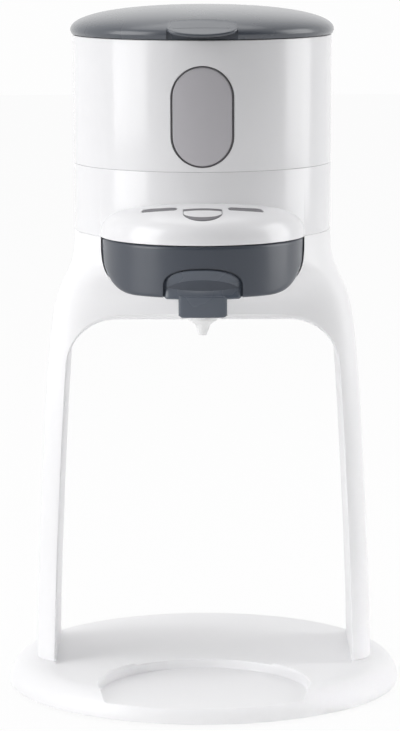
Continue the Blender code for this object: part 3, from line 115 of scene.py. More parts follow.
# Lid
LID_R, LID_EDGE_R, LID_LOW, LID_WIDE, LID_HIGH, LID_SQUARE = 59.6, 58.85, 299.0, 300.7, 311.8, 2.3
LID_WALL, SKIRT_WALL, SKIRT_DEPTH = 2.2, 1.7, 4.5
TAB_HALF, NOTCH_Y = 15.6, -56.6
# Lid's lip: its root on the dome, its nose at the ends, how far the middle bulges and dips, its underside,
# how its top runs, and the nose's own round
LIP_ROOT, LIP_Y, LIP_REACH, LIP_Z, LIP_DIP, LIP_UNDER = -47.0, -54.9, 6.4, 303.9, 2.9, 303.2
LIP_END, LIP_SLOPE, LIP_BLEND, LIP_SKIN, LIP_SINK = 0.75, 0.5, 0.75, 0.03, 0.5
NOSE_OUT, NOSE_HALF = 0.8, 0.85
# Hinge
HINGE_Y, HINGE_Z, PIN_HOLE_R, PIN_HOLE_HALF = 60.0, 305.6, 1.5, 12.0
KNUCKLE_R, KNUCKLE_HALF, EAR_THICK, EAR_R = 3.8, 3.8, 3.6, 3.1

# Up the arch's height: how much of the legs' flare is left, and how far the section has turned into a circle
ARCH_HEIGHT = (
    0.0, 0.102, 0.173, 0.269, 0.36, 0.456, 0.526, 0.597, 0.678, 0.743, 0.784,
    0.813, 0.839, 0.8545, 0.868, 0.882, 0.895, 0.91, 0.925, 0.945, 0.97, 1.0,
)
ARCH_FLARE = (
    1.0, 0.976, 0.948, 0.908, 0.864, 0.812, 0.775, 0.731, 0.675, 0.61, 0.563,
    0.518, 0.455, 0.398, 0.33, 0.255, 0.199, 0.131, 0.079, 0.03, 0.006, 0.0,
)
ARCH_ROUND = (
    0.0, 0.0, 0.0, 0.0, 0.0, 0.0, 0.0, 0.0, 0.0, 0.0, 0.01,
    0.03, 0.06, 0.1, 0.16, 0.25, 0.36, 0.5, 0.64, 0.82, 0.95, 1.0,
)

# Finishes: a colour, from the panel or fixed, the roughness and its spread, the skin's scale and its depth in
# millimetres, and what else isn't as on plain plastic
FINISHES = {
    "gloss_white": ("gloss_white", 0.22, 0.03, 500.0, 0.003, {"coat": 0.35, "tint": 0.008}),
    "satin_white": ("satin_white", 0.36, 0.04, 900.0, 0.005, {"tint": 0.008}),
    "slate": ("slate", 0.3, 0.05, 1200.0, 0.006, {"coat": 0.15}),
    # The lid's colour is a lighter copy of the slate: painted light for the sheen on its crown.
    "lid_slate": ("lid", 0.27, 0.05, 1200.0, 0.006, {"coat": 0.5, "coat_rough": 0.2}),
    # The grip's colour is a lighter copy of the slate: painted light on the grip and tongue.
    "grip_slate": ("grip", 0.27, 0.05, 1200.0, 0.006, {"coat": 0.2}),
    "window_grey": ("window", 0.2, 0.04, 400.0, 0.003, {"coat": 0.4}),
    "rim_grey": ((0.11, 0.107, 0.115), 0.4, 0.05, 1200.0, 0.005, {}),
    # The keys' grey: on the slim keys partly their own grey and partly painted shade of the grooves along them;
    # on the centre key's rim, painted shade of the groove round the white cap.
    "key_grey": ("keys", 0.35, 0.05, 1200.0, 0.005, {}),
    "silicone": ("silicone", 0.35, 0.08, 700.0, 0.006, {"transmission": 0.12, "ior": 1.41}),
    "steel": ((0.55, 0.55, 0.56), 0.3, 0.08, 300.0, 0.004, {"metallic": 1.0}),
    "rubber": ((0.03, 0.03, 0.032), 0.7, 0.08, 1500.0, 0.02, {}),
    "inner_white": ((0.78, 0.78, 0.79), 0.45, 0.05, 900.0, 0.008, {"tint": 0.01}),
    "board": ((0.02, 0.12, 0.06), 0.4, 0.1, 2500.0, 0.01, {}),
    "black": ((0.02, 0.02, 0.022), 0.5, 0.08, 900.0, 0.01, {}),
    "cast": ((0.6, 0.6, 0.61), 0.5, 0.1, 700.0, 0.02, {"metallic": 1.0}),
}
# The slots whose finish has another name, where the model's own node stays in view
SLOT_FINISH = {"white": "satin_white", "dark_seal": "rubber", "pale_silicone": "silicone", "aluminium": "cast"}

# Floor: half its side, its grey and roughness, and the share of plain white where it is seen
FLOOR_HALF, FLOOR_GREY, FLOOR_ROUGH, FLOOR_GLOW = 4000.0, 0.82, 0.6, 0.93
# Surroundings: strength as light and as what is seen, and the dim side, to the front and a little to the right
WORLD_LIGHT, WORLD_SEEN = 0.63, 0.985
DARK_SIDE, DARK_FROM, DARK_FULL = (0.26, -0.966, 0.0), 0.25, 0.9
# Lamps: place and size in metres, watts, what they look at, and their spread in degrees
LAMPS = (
    ("left", (-1.5, -0.65, 0.7), (1.1, 1.4), 14.0, (0, 0, 0.26), 180),
    ("right", (1.5, 0.1, 0.55), (0.9, 1.4), 9.5, (0, 0, 0.17), 180),
    ("top", (-0.1, 0.1, 1.7), (1.4, 1.4), 8.0, (0, 0, 0.17), 180),
    ("front", (0.1, -1.35, 0.04), (0.5, 0.1), 0.033, (0, 0, 0.172), 7),
    ("low", (0.5, -1.3, 0.1), (0.8, 0.1), 0.12, (0.03, 0, -0.01), 13),
)
# Camera, fitted to the photograph: place in metres, degrees down and of roll, lens and sensor in millimetres
VIEW_PLACE, VIEW_DOWN, VIEW_ROLL, VIEW_LENS, VIEW_SENSOR = (-0.00072, -1.5, 0.3731), 8.57, 0.16, 162.75, 36.0


def colour_property(label, where, value):
    """A colour of the panel."""
    return bpy.props.FloatVectorProperty(name=label, description=where, subtype="COLOR", size=3, default=value)


def length_property(label, what, value):
    """A length of the panel, in metres."""
    return bpy.props.FloatProperty(name=label, description=what, default=value, unit="LENGTH")


class WarmerColours(bpy.types.PropertyGroup):
    """Colours of the finishes."""

    gloss_white: colour_property("Gloss white", "Tank and head", (0.83, 0.828, 0.845))
    satin_white: colour_property("Satin white", "Base and arch", (0.885, 0.883, 0.895))
    slate: colour_property("Slate", "Drawer's front", (0.050, 0.059, 0.078))
    # A lighter copy of the slate: painted light for the sheen on the lid's crown.
    lid: colour_property("Lid", "Lid", (0.068, 0.077, 0.095))
    # A lighter copy of the slate: painted light on the grip and tongue.
    grip: colour_property("Grip", "Grip and tongue", (0.082, 0.096, 0.122))
    window: colour_property("Window", "Water window", (0.50, 0.487, 0.515))
    # Partly the slim keys' own grey and partly painted groove shade; on the centre key's rim, painted shade of
    # the groove round the cap.
    keys: colour_property("Keys", "The two slim keys", (0.20, 0.196, 0.21))
    silicone: colour_property("Silicone", "Nozzle and seals", (0.95, 0.95, 0.95))


class WarmerSizes(bpy.types.PropertyGroup):
    """Sizes of the rounded edges and of what stands proud."""

    leg_edge: length_property("Leg edge", "Rounding of the legs' inner edges", 0.0018)
    bay_edge: length_property("Bay edge", "Rounding round the drawer's opening", 0.00015)
    fascia_edge: length_property("Drawer edge", "Bevel round the drawer's front", 0.0013)
    key_proud: length_property("Key height", "How far the keys stand out of the brow", 0.0001)
    dish_depth: length_property("Grip dish", "Depth of the grip's hollow", 0.0030)


def size(name):
    """A length of the panel in millimetres."""
    return getattr(bpy.context.scene.warmer_sizes, name) / MM


# Shapes as functions

def arc_points(centre, radius, first, last, count):
    """Points of a circle's arc: centre plus radius times cosine and sine of angles in degrees."""
    a = np.radians(np.linspace(first, last, count))
    return np.column_stack([centre[0] + radius * np.cos(a), centre[1] + radius * np.sin(a)])


def rounded(corners, radii, count=7):
    """A line through corners, each replaced by a quadratic blend that starts its radius before the corner and
    ends it after: (1 - t)^2 of one end, 2 t (1 - t) of the corner and t^2 of the other end."""
    points = np.array(corners, float)
    out = [points[:1]]
    for before, corner, after, radius in zip(points, points[1:], points[2:], radii):
        if radius <= 0:
            out.append(corner[None])
            continue
        to_before, to_after = before - corner, after - corner
        near = min(radius, np.linalg.norm(to_before) * 0.49, np.linalg.norm(to_after) * 0.49)
        a = corner + to_before / np.linalg.norm(to_before) * near
        b = corner + to_after / np.linalg.norm(to_after) * near
        t = np.linspace(0, 1, count)[:, None]
        out.append((1 - t) ** 2 * a + 2 * t * (1 - t) * corner + t**2 * b)
    out.append(points[-1:])
    return np.concatenate(out)


def dome_line(radius, bottom, height, square, count):
    """A superellipse quarter, radius by height: both coordinates are a power 2/square of cosine and sine."""
    a = np.radians(np.linspace(90, 0, count))
    across = radius * np.clip(np.cos(a), 0, 1) ** (2 / square)
    across[0] = 0.0
    return np.column_stack([across, bottom + height * np.clip(np.sin(a), 0, 1) ** (2 / square)])


def dome_height(x, y, centre_y, radius, bottom, height, square):
    """Height of that dome over a place: bottom plus height times (1 - share^square)^(1/square)."""
    share = np.clip(np.hypot(x, y - centre_y) / radius, 0, 1)
    return bottom + height * (1 - share**square) ** (1 / square)


def brow_z(x, y, proud):
    """Height of the brow's dome over a place, or of one that stands proud of it."""
    return dome_height(x, y, DRAWER_Y, DRAWER_R + proud, HEAD_LOW, BROW_HIGH + proud, BROW_SQUARE)


def eased(share):
    """A share that leaves 0 and reaches 1 gently: its square times three less twice the share."""
    share = np.clip(share, 0, 1)
    return share**2 * (3 - 2 * share)


def level(value):
    """A surface that is flat: the same height at each place."""
    return lambda u, v: np.full(u.shape, value)


def round_front(radius, centre_y, proud=0.0):
    """A surface that is an upright round wall seen from the front: how far out it is at a place across."""
    return lambda u, v: -centre_y + np.sqrt(np.maximum(radius**2 - u**2, 0)) + proud


def smooth_table(value, places, values):
    """A table read at value, its straight runs softened by a running mean of raised-cosine weights."""
    dense = np.linspace(-0.1, 1.1, 1201)
    read = np.interp(dense, places, values)
    weights = np.hanning(36)
    pad = len(weights) // 2
    padded = np.concatenate([np.full(pad, read[0]), read, np.full(pad, read[-1])])
    soft = np.convolve(padded, weights / weights.sum(), "same")[pad:-pad]
    return np.interp(value, dense, soft)


def arch_values(z):
    """Half width, half depth, middle and squareness of the arch's section at height z."""
    share = (np.asarray(z, float) - BASE_TOP) / (SEAM_Z - BASE_TOP)
    half = SEAM_R + smooth_table(share, ARCH_HEIGHT, ARCH_FLARE) * (FOOT_HALF - SEAM_R)
    circle = smooth_table(share, ARCH_HEIGHT, ARCH_ROUND)
    depth = LEG_DEPTH + circle * (SEAM_R - LEG_DEPTH)
    return half, depth, LEG_Y * (1 - circle), LEG_SQUARE + circle * (2 - LEG_SQUARE)


def arch_face(x, z, side):
    """Y of the arch's front (side -1) or back (+1): middle plus depth times (1 - (x/half)^n)^(1/n)."""
    half, depth, middle, n = arch_values(np.clip(z, BASE_TOP, SEAM_Z))
    share = np.clip(np.abs(x) / half, 0, 0.999)
    return middle + side * depth * (1 - share**n) ** (1 / n)


def leg_inner(z):
    """How far from the middle a leg's inner side is at height z: the half width less the leg's thickness."""
    return arch_values(z)[0] - LEG_THICK


def edge_flare(depth, radius):
    """How far a round edge of that radius has drawn back at a depth under the face."""
    inside = np.clip(radius - depth, 0, radius)
    return radius - np.sqrt(radius**2 - inside**2)


# Outlines

def loop_normals(loop):
    """Outward unit normals of a closed loop that runs anticlockwise."""
    along = np.roll(loop, -1, axis=0) - np.roll(loop, 1, axis=0)
    normal = np.column_stack([along[:, 1], -along[:, 0]])
    return normal / np.maximum(np.linalg.norm(normal, axis=1, keepdims=True), 1e-9)


def anticlockwise(loop):
    """The loop, turned round if the area it encloses comes out negative."""
    nxt = np.roll(loop, -1, axis=0)
    area = (loop[:, 0] * nxt[:, 1] - nxt[:, 0] * loop[:, 1]).sum()
    return loop if area > 0 else loop[::-1]


def mirrored(right):
    """A closed loop from its right half."""
    return np.concatenate([right, right[::-1] * (-1, 1)])


def even_loop(loop, count):
    """A closed loop read again at equal steps along its length."""
    closed = np.concatenate([loop, loop[:1]])
    length = np.concatenate([[0], np.cumsum(np.linalg.norm(np.diff(closed, axis=0), axis=1))])
    at = np.linspace(0, length[-1], count, endpoint=False)
    return np.column_stack([np.interp(at, length, closed[:, 0]), np.interp(at, length, closed[:, 1])])


def bay_loop(gap, top):
    """The drawer's outline from the front: sides that draw in to lower corners of a quarter superellipse.
    The gap is almost nothing at the sides and full below."""
    a = np.radians(np.linspace(90, 0, 40))
    right = np.column_stack([
        FACE_R - CORNER_WIDE + CORNER_WIDE * np.clip(np.cos(a), 0, 1) ** (2 / CORNER_SQUARE),
        FACE_LOW + CORNER_HIGH - CORNER_HIGH * np.clip(np.sin(a), 0, 1) ** (2 / CORNER_SQUARE)])
    loop = anticlockwise(mirrored(np.concatenate([right, [(FACE_R, top)]])))
    normal = loop_normals(loop)
    return loop + normal * gap * np.clip(-normal[:, 1:], BAY_SIDE_SHARE, 1)


def key_loops(gap, wide):
    """Outlines of the keys from above: two slim strips with round ends and a D with a flat back.
    The sides of the D leave a gap, its back and its round front a wider band, which on the centre key the grey
    rim fills flush with the cap as painted groove shade."""
    back, side, front = DRAWER_Y - KEY_BACK + wide, DRAWER_Y - KEY_SIDE, DRAWER_Y - KEY_FRONT - wide
    half = KEY_HALF + gap
    a = np.radians(np.linspace(0, -180, 40))
    bow = np.column_stack([half * np.cos(a), side + (side - front) * np.sin(a)])
    loops = {"centre": np.concatenate([[(half, back)], bow, [(-half, back)]])}
    for word, sign in (("left", -1), ("right", 1)):
        across = np.linspace(STRIP_FROM, STRIP_TO, 24)
        line = np.column_stack([sign * across, DRAWER_Y - np.interp(across, STRIP_ACROSS, STRIP_OUT)])
        along = np.gradient(line, axis=0)
        side = np.column_stack([-along[:, 1], along[:, 0]]) / np.linalg.norm(along, axis=1)[:, None]
        wall = STRIP_HALF + gap
        first = math.degrees(math.atan2(along[0, 1], along[0, 0]))
        last = math.degrees(math.atan2(along[-1, 1], along[-1, 0]))
        loops[word] = np.concatenate([
            line - side * wall, arc_points(line[-1], wall, last - 90, last + 90, 10)[1:-1],
            (line + side * wall)[::-1], arc_points(line[0], wall, first + 90, first + 270, 10)[1:-1]])
    return loops


def window_loop(inset):
    """The window's upright outline, drawn in by an inset: straight sides and half circles."""
    half, low, high = WINDOW_HALF - inset, WINDOW_LOW + inset, WINDOW_HIGH - inset
    top = arc_points((0, high - half), half, 0, 180, 40)
    return np.concatenate([top, arc_points((0, low + half), half, 180, 360, 40)])


def pad_loop(gap, corner=0.0):
    """The grip pad's outline: upright sides under a superellipse arch, with round lower corners."""
    half, crown = PAD_HALF + gap, PAD_TOP + gap - PAD_SHOULDER
    a = np.radians(np.linspace(0, 180, 60))
    arch = np.column_stack([
        half * np.sign(np.cos(a)) * np.abs(np.cos(a)) ** PAD_SQUARE,
        PAD_SHOULDER + crown * np.sin(a) ** PAD_SQUARE])
    if corner == 0:
        return np.concatenate([arch, [(-half, DRAWER_LOW - 3), (half, DRAWER_LOW - 3)]])
    foot = rounded([arch[-1], (-half, PAD_LOW), (half, PAD_LOW), arch[0]], (corner, corner), 8)
    return np.concatenate([arch, foot[1:-1]])


def along_face(across):
    """Length along the drawer's front at a place across: the radius times the arcsine of their ratio."""
    return FACE_R * np.arcsin(np.clip(across / FACE_R, -1, 1))


# Meshes

def scene_object(name, data):
    """An object of that data in the scene."""
    made = bpy.data.objects.new(name, data)
    bpy.context.scene.collection.objects.link(made)
    return made


def mesh_object(name, points, faces):
    """An object of a closed mesh, its points in millimetres and its faces turned outwards."""
    mesh = bpy.data.meshes.new(name)
    mesh.from_pydata((np.asarray(points) * MM).tolist(), [], faces)
    shape = bmesh.new()
    shape.from_mesh(mesh)
    bmesh.ops.remove_doubles(shape, verts=shape.verts, dist=1e-7)
    bmesh.ops.recalc_face_normals(shape, faces=shape.faces)
    shape.to_mesh(mesh)
    shape.free()
    return scene_object(name, mesh)


def move_points(mesh, change):
    """Gives a mesh the points that change makes of its own, in metres."""
    co = np.empty(len(mesh.vertices) * 3)
    mesh.vertices.foreach_get("co", co)
    mesh.vertices.foreach_set("co", change(co.reshape(-1, 3)).ravel())
    mesh.update()


def grid_solid(name, grid, start="cap", end="cap"):
    """A solid from a grid of closed rings: each ring joined to the next, each end a cap, a pole or a join."""
    rows, cols = grid.shape[:2]
    index = np.arange(rows * cols).reshape(rows, cols)
    upper, lower = index, np.roll(index, -1, axis=0)
    if "join" not in (start, end):
        upper, lower = index[:-1], index[1:]
    quads = np.stack([upper, lower, np.roll(lower, -1, axis=1), np.roll(upper, -1, axis=1)], axis=-1)
    faces = quads.reshape(-1, 4).tolist()
    points = grid.reshape(-1, 3)
    for kind, ring in ((start, index[0]), (end, index[-1])):
        if kind == "cap":
            faces.append(ring.tolist())
        elif kind == "pole":
            centre = len(points)
            points = np.concatenate([points, points[ring].mean(axis=0)[None]])
            faces += np.column_stack([ring, np.roll(ring, -1), np.full(cols, centre)]).tolist()
    return mesh_object(name, points, faces)


def revolve(name, profile, centre=(0.0, 0.0), steps=ROUND, ring=False):
    """A profile of radius and height carried round an upright axis: radius times cosine and sine."""
    profile = np.asarray(profile, float)
    inner = profile if ring else profile[profile[:, 0] > 1e-6]
    a = np.linspace(0, TURN, steps, endpoint=False)
    grid = np.empty((len(inner), steps, 3))
    grid[..., 0] = centre[0] + inner[:, :1] * np.cos(a)
    grid[..., 1] = centre[1] + inner[:, :1] * np.sin(a)
    grid[..., 2] = inner[:, 1:]
    end = "join" if ring else "pole"
    return grid_solid(name, grid, end, end)


def hinge_rod(name, radius, half, edge=0.0):
    """A round rod on the hinge's axis: turned upright, then laid along X in its mesh."""
    profile = rounded([(0, half), (radius, half), (radius, -half), (0, -half)], (edge, edge), 4)
    made = revolve(name, profile, steps=48)
    move_points(made.data, lambda co: np.column_stack([
        co[:, 2], co[:, 1] + HINGE_Y * MM, HINGE_Z * MM - co[:, 0]]))
    return made


def prism(name, loop, low, high, axis="z", edge=0.0):
    """A flat outline carried along an axis; near each end it draws in by a quarter circle of the edge."""
    loop = anticlockwise(np.asarray(loop, float))
    normal = loop_normals(loop)
    if edge > 0:
        a = np.linspace(0, math.pi / 2, 5)
        inset = edge * (1 - np.sin(a))
        rise = edge * (1 - np.cos(a))
        levels = np.concatenate([low + rise, (high - rise)[::-1]])
        insets = np.concatenate([inset, inset[::-1]])
    else:
        levels, insets = np.array([low, high]), np.zeros(2)
    flat = loop[None] - normal[None] * insets[:, None, None]
    third = np.broadcast_to(levels[:, None], flat.shape[:2])
    order = {"x": (2, 0, 1), "y": (0, 2, 1), "z": (0, 1, 2)}[axis]
    columns = (flat[..., 0], flat[..., 1], third)
    return grid_solid(name, np.stack([columns[i] for i in order], axis=-1))


def box(name, low, high):
    """A box between two corners."""
    loop = [(low[0], low[1]), (high[0], low[1]), (high[0], high[1]), (low[0], high[1])]
    return prism(name, loop, low[2], high[2])


def tile(name, loop, surface, back, edge, place, rings=22):
    """A cushion-edged tile over an outline: rings shrink towards its middle, the face is surface(u, v), its
    border falls away by a quarter circle, and the back is back(u, v). place makes a point of (u, v, w)."""
    loop = anticlockwise(np.asarray(loop, float))
    middle = (loop.min(axis=0) + loop.max(axis=0)) / 2
    reach = np.linalg.norm(loop - middle, axis=1).min()
    border = 1 - np.minimum(edge * (1 - np.cos(np.linspace(0, math.pi / 2, 6))) / reach, 0.9)
    shares = np.concatenate([np.linspace(0.04, border.min(), rings, endpoint=False), np.sort(border)])
    flat = middle + shares[:, None, None] * (loop - middle)
    inward = (1 - shares)[:, None] * reach
    face = surface(flat[..., 0], flat[..., 1]) - edge_flare(inward, edge)
    front = np.stack([flat[..., 0], flat[..., 1], face], axis=-1)
    u, v = flat[::-1, :, 0], flat[::-1, :, 1]
    rear = np.stack([u, v, back(u, v)], axis=-1)
    return grid_solid(name, place(np.concatenate([front, rear])), "pole", "pole")


def face_out(grid):
    """Places (across, up, out) as a point that looks to the front."""
    return np.stack([grid[..., 0], -grid[..., 2], grid[..., 1]], axis=-1)


def round_wall(radius, centre_y):
    """Places (arc length, height, out) on an upright round wall, measured from its front.
    Past a quarter turn the wall runs straight back."""
    def place(grid):
        turn = np.clip(grid[..., 0] / radius, -math.pi / 2, math.pi / 2)
        past = np.abs(grid[..., 0]) - np.abs(turn) * radius
        out = radius + grid[..., 2]
        return np.stack([out * np.sin(turn), centre_y - out * np.cos(turn) + past, grid[..., 1]], axis=-1)
    return place


def combine(target, *steps):
    """Booleans on a piece, each (operation, other); the others are used up."""
    for number, (operation, other) in enumerate(steps):
        step = target.modifiers.new("step %d" % number, "BOOLEAN")
        step.operation = operation
        step.solver = "MANIFOLD"
        step.object = other
    graph = bpy.context.evaluated_depsgraph_get()
    mesh = bpy.data.meshes.new_from_object(target.evaluated_get(graph))
    if not mesh.polygons:
        raise RuntimeError(target.name + " is empty after its cuts")
    target.modifiers.clear()
    target.data = mesh
    for _, other in steps:
        bpy.data.objects.remove(other, do_unlink=True)


def dress(made, body, slot, look, *nodes, sharp=32):
    """Ends a piece: smooth shading, its finish, the body it rides on and the nodes it stands for."""
    mesh = made.data
    mesh.materials.clear()
    mesh.materials.append(finish(look))
    mesh.shade_smooth()
    mesh.set_sharp_from_angle(angle=math.radians(sharp))
    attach(made, body)
    if nodes:
        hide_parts(*nodes)


# Finishes

def add_node(tree, kind, inputs=None, **settings):
    """A shader node with its settings made, and each input given a value or linked to another's output."""
    made = tree.nodes.new("ShaderNode" + kind)
    for key, value in settings.items():
        setattr(made, key, value)
    for key, value in (inputs or {}).items():
        if isinstance(value, bpy.types.NodeSocket):
            tree.links.new(value, made.inputs[key])
        else:
            made.inputs[key].default_value = value
    return made


def largest(tree, *values):
    """The largest of some outputs."""
    most = values[0]
    for value in values[1:]:
        most = add_node(tree, "Math", {0: most, 1: value}, operation="MAXIMUM").outputs[0]
    return most


def new_material(name):
    """A material with its node tree and its main shader."""
    made = bpy.data.materials.new(name)
    made.use_nodes = True
    return made, made.node_tree, made.node_tree.nodes["Principled BSDF"]


def moulded(name, colour, rough, spread, grain, depth, coat=0.0, coat_rough=0.08, ior=1.5,
            transmission=0.0, metallic=0.0, tint=0.03):
    """Moulded plastic: a colour that drifts a little, roughness that varies in soft clouds, and a fine skin."""
    made, tree, shader = new_material(name)
    place = add_node(tree, "TexCoord").outputs["Object"]
    cloud = add_node(tree, "TexNoise", {"Scale": 22.0, "Detail": 4.0, "Vector": place}).outputs["Fac"]
    darker = (*[c * (1 - tint) for c in colour], 1.0)
    lighter = (*[min(1.0, c * (1 + tint)) for c in colour], 1.0)
    drift = add_node(tree, "Mix", {"A": darker, "B": lighter, "Factor": cloud}, data_type="RGBA")
    clouds = add_node(tree, "MapRange", {
        "To Min": max(0.02, rough - spread), "To Max": rough + spread, "Value": cloud})
    skin = add_node(tree, "TexNoise", {"Scale": grain, "Detail": 2.0, "Vector": place})
    bump = add_node(tree, "Bump", {"Strength": 0.25, "Distance": depth * MM, "Height": skin.outputs["Fac"]})
    tree.links.new(drift.outputs["Result"], shader.inputs["Base Color"])
    tree.links.new(clouds.outputs["Result"], shader.inputs["Roughness"])
    tree.links.new(bump.outputs["Normal"], shader.inputs["Normal"])
    for key, value in (("Coat Weight", coat), ("Coat Roughness", coat_rough), ("IOR", ior),
                       ("Transmission Weight", transmission), ("Metallic", metallic)):
        shader.inputs[key].default_value = value
    return made


def finish(look):
    """A finish of the table, made the first time it is asked for."""
    name = "finish_" + look
    colour, *numbers, others = FINISHES[look]
    if isinstance(colour, str):
        colour = getattr(bpy.context.scene.warmer_colours, colour)
    return bpy.data.materials.get(name) or moulded(name, colour, *numbers, **others)


# Pieces

class WARMER_OT_base(bpy.types.Operator):
    """The round base with the bottle's recess and the low step between the legs"""

    bl_idname = "warmer.base"
    bl_label = "Base"

    def execute(self, context):
        centre = (BASE_R - BASE_EDGE, BASE_TOP - BASE_EDGE)
        rim = arc_points(centre, BASE_EDGE, 90, 0, 25)
        under = rounded(
            [(BASE_R, BASE_LOW + 0.3), (BASE_R, BASE_LOW), (BASE_R - BASE_WALL, BASE_LOW),
             (BASE_R - BASE_WALL, BASE_HOLLOW), (0, BASE_HOLLOW)], (0.25, 0.3, 0.3), 4)
        spokes = np.linspace(0, centre[0], 26, endpoint=False)[1:]
        top = np.column_stack([spokes, np.full(len(spokes), BASE_TOP)])
        body = revolve("base_body", np.concatenate([[(0, BASE_TOP)], top, rim, under]))
        recess = revolve("recess", rounded(
            [(0, RECESS_FLOOR), (RECESS_R, RECESS_FLOOR), (RECESS_R, BASE_TOP - RECESS_LIP),
             (RECESS_R + RECESS_LIP, BASE_TOP), (RECESS_R + 3, BASE_TOP + 4), (0, BASE_TOP + 4)],
            (0.8, 0.7, 0.7, 0), 6), (0.0, RECESS_Y))
        inner = float(leg_inner(BASE_TOP)) - HAIR
        step = box("step", (-inner, STEP_FRONT, STEP_Z), (inner, BASE_R + 5, BASE_TOP + 5))
        flat = box("flat", (-GLAND_HALF, GLAND_Y, GLAND_LOW), (GLAND_HALF, BASE_R + 2, BASE_TOP + 3))
        combine(body, (CUT, recess), (CUT, step), (CUT, flat))
        dress(body, "stand", "white", "satin_white", "base_disc")
        return {"FINISHED"}


class WARMER_OT_arch(bpy.types.Operator):
    """The arch: a loft from two legs to a round seam, with its opening and the drawer's bay"""

    bl_idname = "warmer.arch"
    bl_label = "Arch"

    def execute(self, context):
        turned = SEAM_Z - SEAM_EDGE
        heights = np.concatenate([
            np.linspace(BASE_TOP + HAIR, CLOSER_Z, 50, endpoint=False), np.linspace(CLOSER_Z, turned, 70),
            turned + SEAM_EDGE * np.sin(np.radians([22, 45, 67, 90]))])
        inset = edge_flare(SEAM_Z - heights, SEAM_EDGE)
        half, depth, middle, n = arch_values(np.minimum(heights, SEAM_Z))
        a = np.linspace(0, TURN, ROUND, endpoint=False)
        across, along = np.cos(a)[None], np.sin(a)[None]
        n = n[:, None]
        reach = (np.abs(across) ** n + np.abs(along) ** n) ** (-1 / n)
        body = grid_solid("arch_body", np.stack([
            (half - inset)[:, None] * across * reach,
            middle[:, None] + (depth - inset)[:, None] * along * reach,
            np.broadcast_to(heights[:, None], reach.shape)], axis=-1))
        tunnel = self.opening("tunnel", self.tunnel_loop(), size("leg_edge"), True)
        bay = self.opening("bay", bay_loop(BAY_GAP, SEAM_Z + 6), size("bay_edge"), False)
        slot_half = TONGUE_HALF + GAP
        slot = prism("slot", np.concatenate([
            [(slot_half, -70)], arc_points((0, DRAWER_Y), slot_half, 0, 180, 32), [(-slot_half, -70)]]),
            TUNNEL_TOP - 3, DRAWER_LOW + 2)
        rear = box("rear", (-REAR_HALF, REAR_FRONT, REAR_LOW), (REAR_HALF, REAR_BACK, SEAM_Z + 3))
        steps = [(CUT, tunnel), (CUT, bay), (CUT, slot), (CUT, rear)]
        for word, sign in (("left", -1), ("right", 1)):
            cover_low, cover_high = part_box("leg_cover_" + word)
            z = np.linspace(cover_low[2] / MM - GAP, cover_high[2] / MM + GAP, 24)
            line = sign * leg_inner(z)
            loop = np.concatenate([
                np.column_stack([line - sign * 3, z]),
                np.column_stack([line + sign * COVER_POCKET, z])[::-1]])
            steps.append((CUT, prism(
                "pocket", loop, cover_low[1] / MM - GAP, cover_high[1] / MM + GAP, "y")))
        combine(body, *steps)
        dress(body, "stand", "white", "satin_white", "arch")
        return {"FINISHED"}

    def tunnel_loop(self):
        """The outline between the legs: their inner sides, and quarter circles under the crossbar."""
        turn = TUNNEL_TOP - TUNNEL_CORNER
        side_z = np.linspace(2.0, turn, 60)
        side = np.column_stack([leg_inner(np.maximum(side_z, BASE_TOP)), side_z])
        corner = arc_points((side[-1, 0] - TUNNEL_CORNER, turn), TUNNEL_CORNER, 0, 90, 24)[1:]
        return mirrored(np.concatenate([side, corner]))

    def opening(self, name, loop, edge, through):
        """A cutter that follows the arch's front (and back) and opens out there by a quarter circle."""
        loop = anticlockwise(np.asarray(loop, float))
        normal = loop_normals(loop)
        depths = np.concatenate([[-4.0, -1.0], edge * (1 - np.cos(np.linspace(0, math.pi / 2, 7)))])
        rings = []
        for side in (-1, 1):
            face = arch_face(loop[:, 0], loop[:, 1], side)
            for depth in depths if side < 0 else depths[::-1]:
                offset = edge_flare(max(depth, 0), edge) + max(-depth, 0)
                flat = loop + normal * offset
                rings.append(np.column_stack([flat[:, 0], face - side * depth, flat[:, 1]]))
            if not through:
                back = DRAWER_R + DRAWER_Y + GAP
                loop = loop * (BAY_SPREAD, 1)
                rings.append(np.column_stack([loop[:, 0], np.full(len(loop), back), loop[:, 1]]))
                break
        first, last = rings[0].copy(), rings[-1].copy()
        first[:, 1], last[:, 1] = -FAR, FAR
        return grid_solid(name, np.array([first, *rings, last] if through else [first, *rings]))


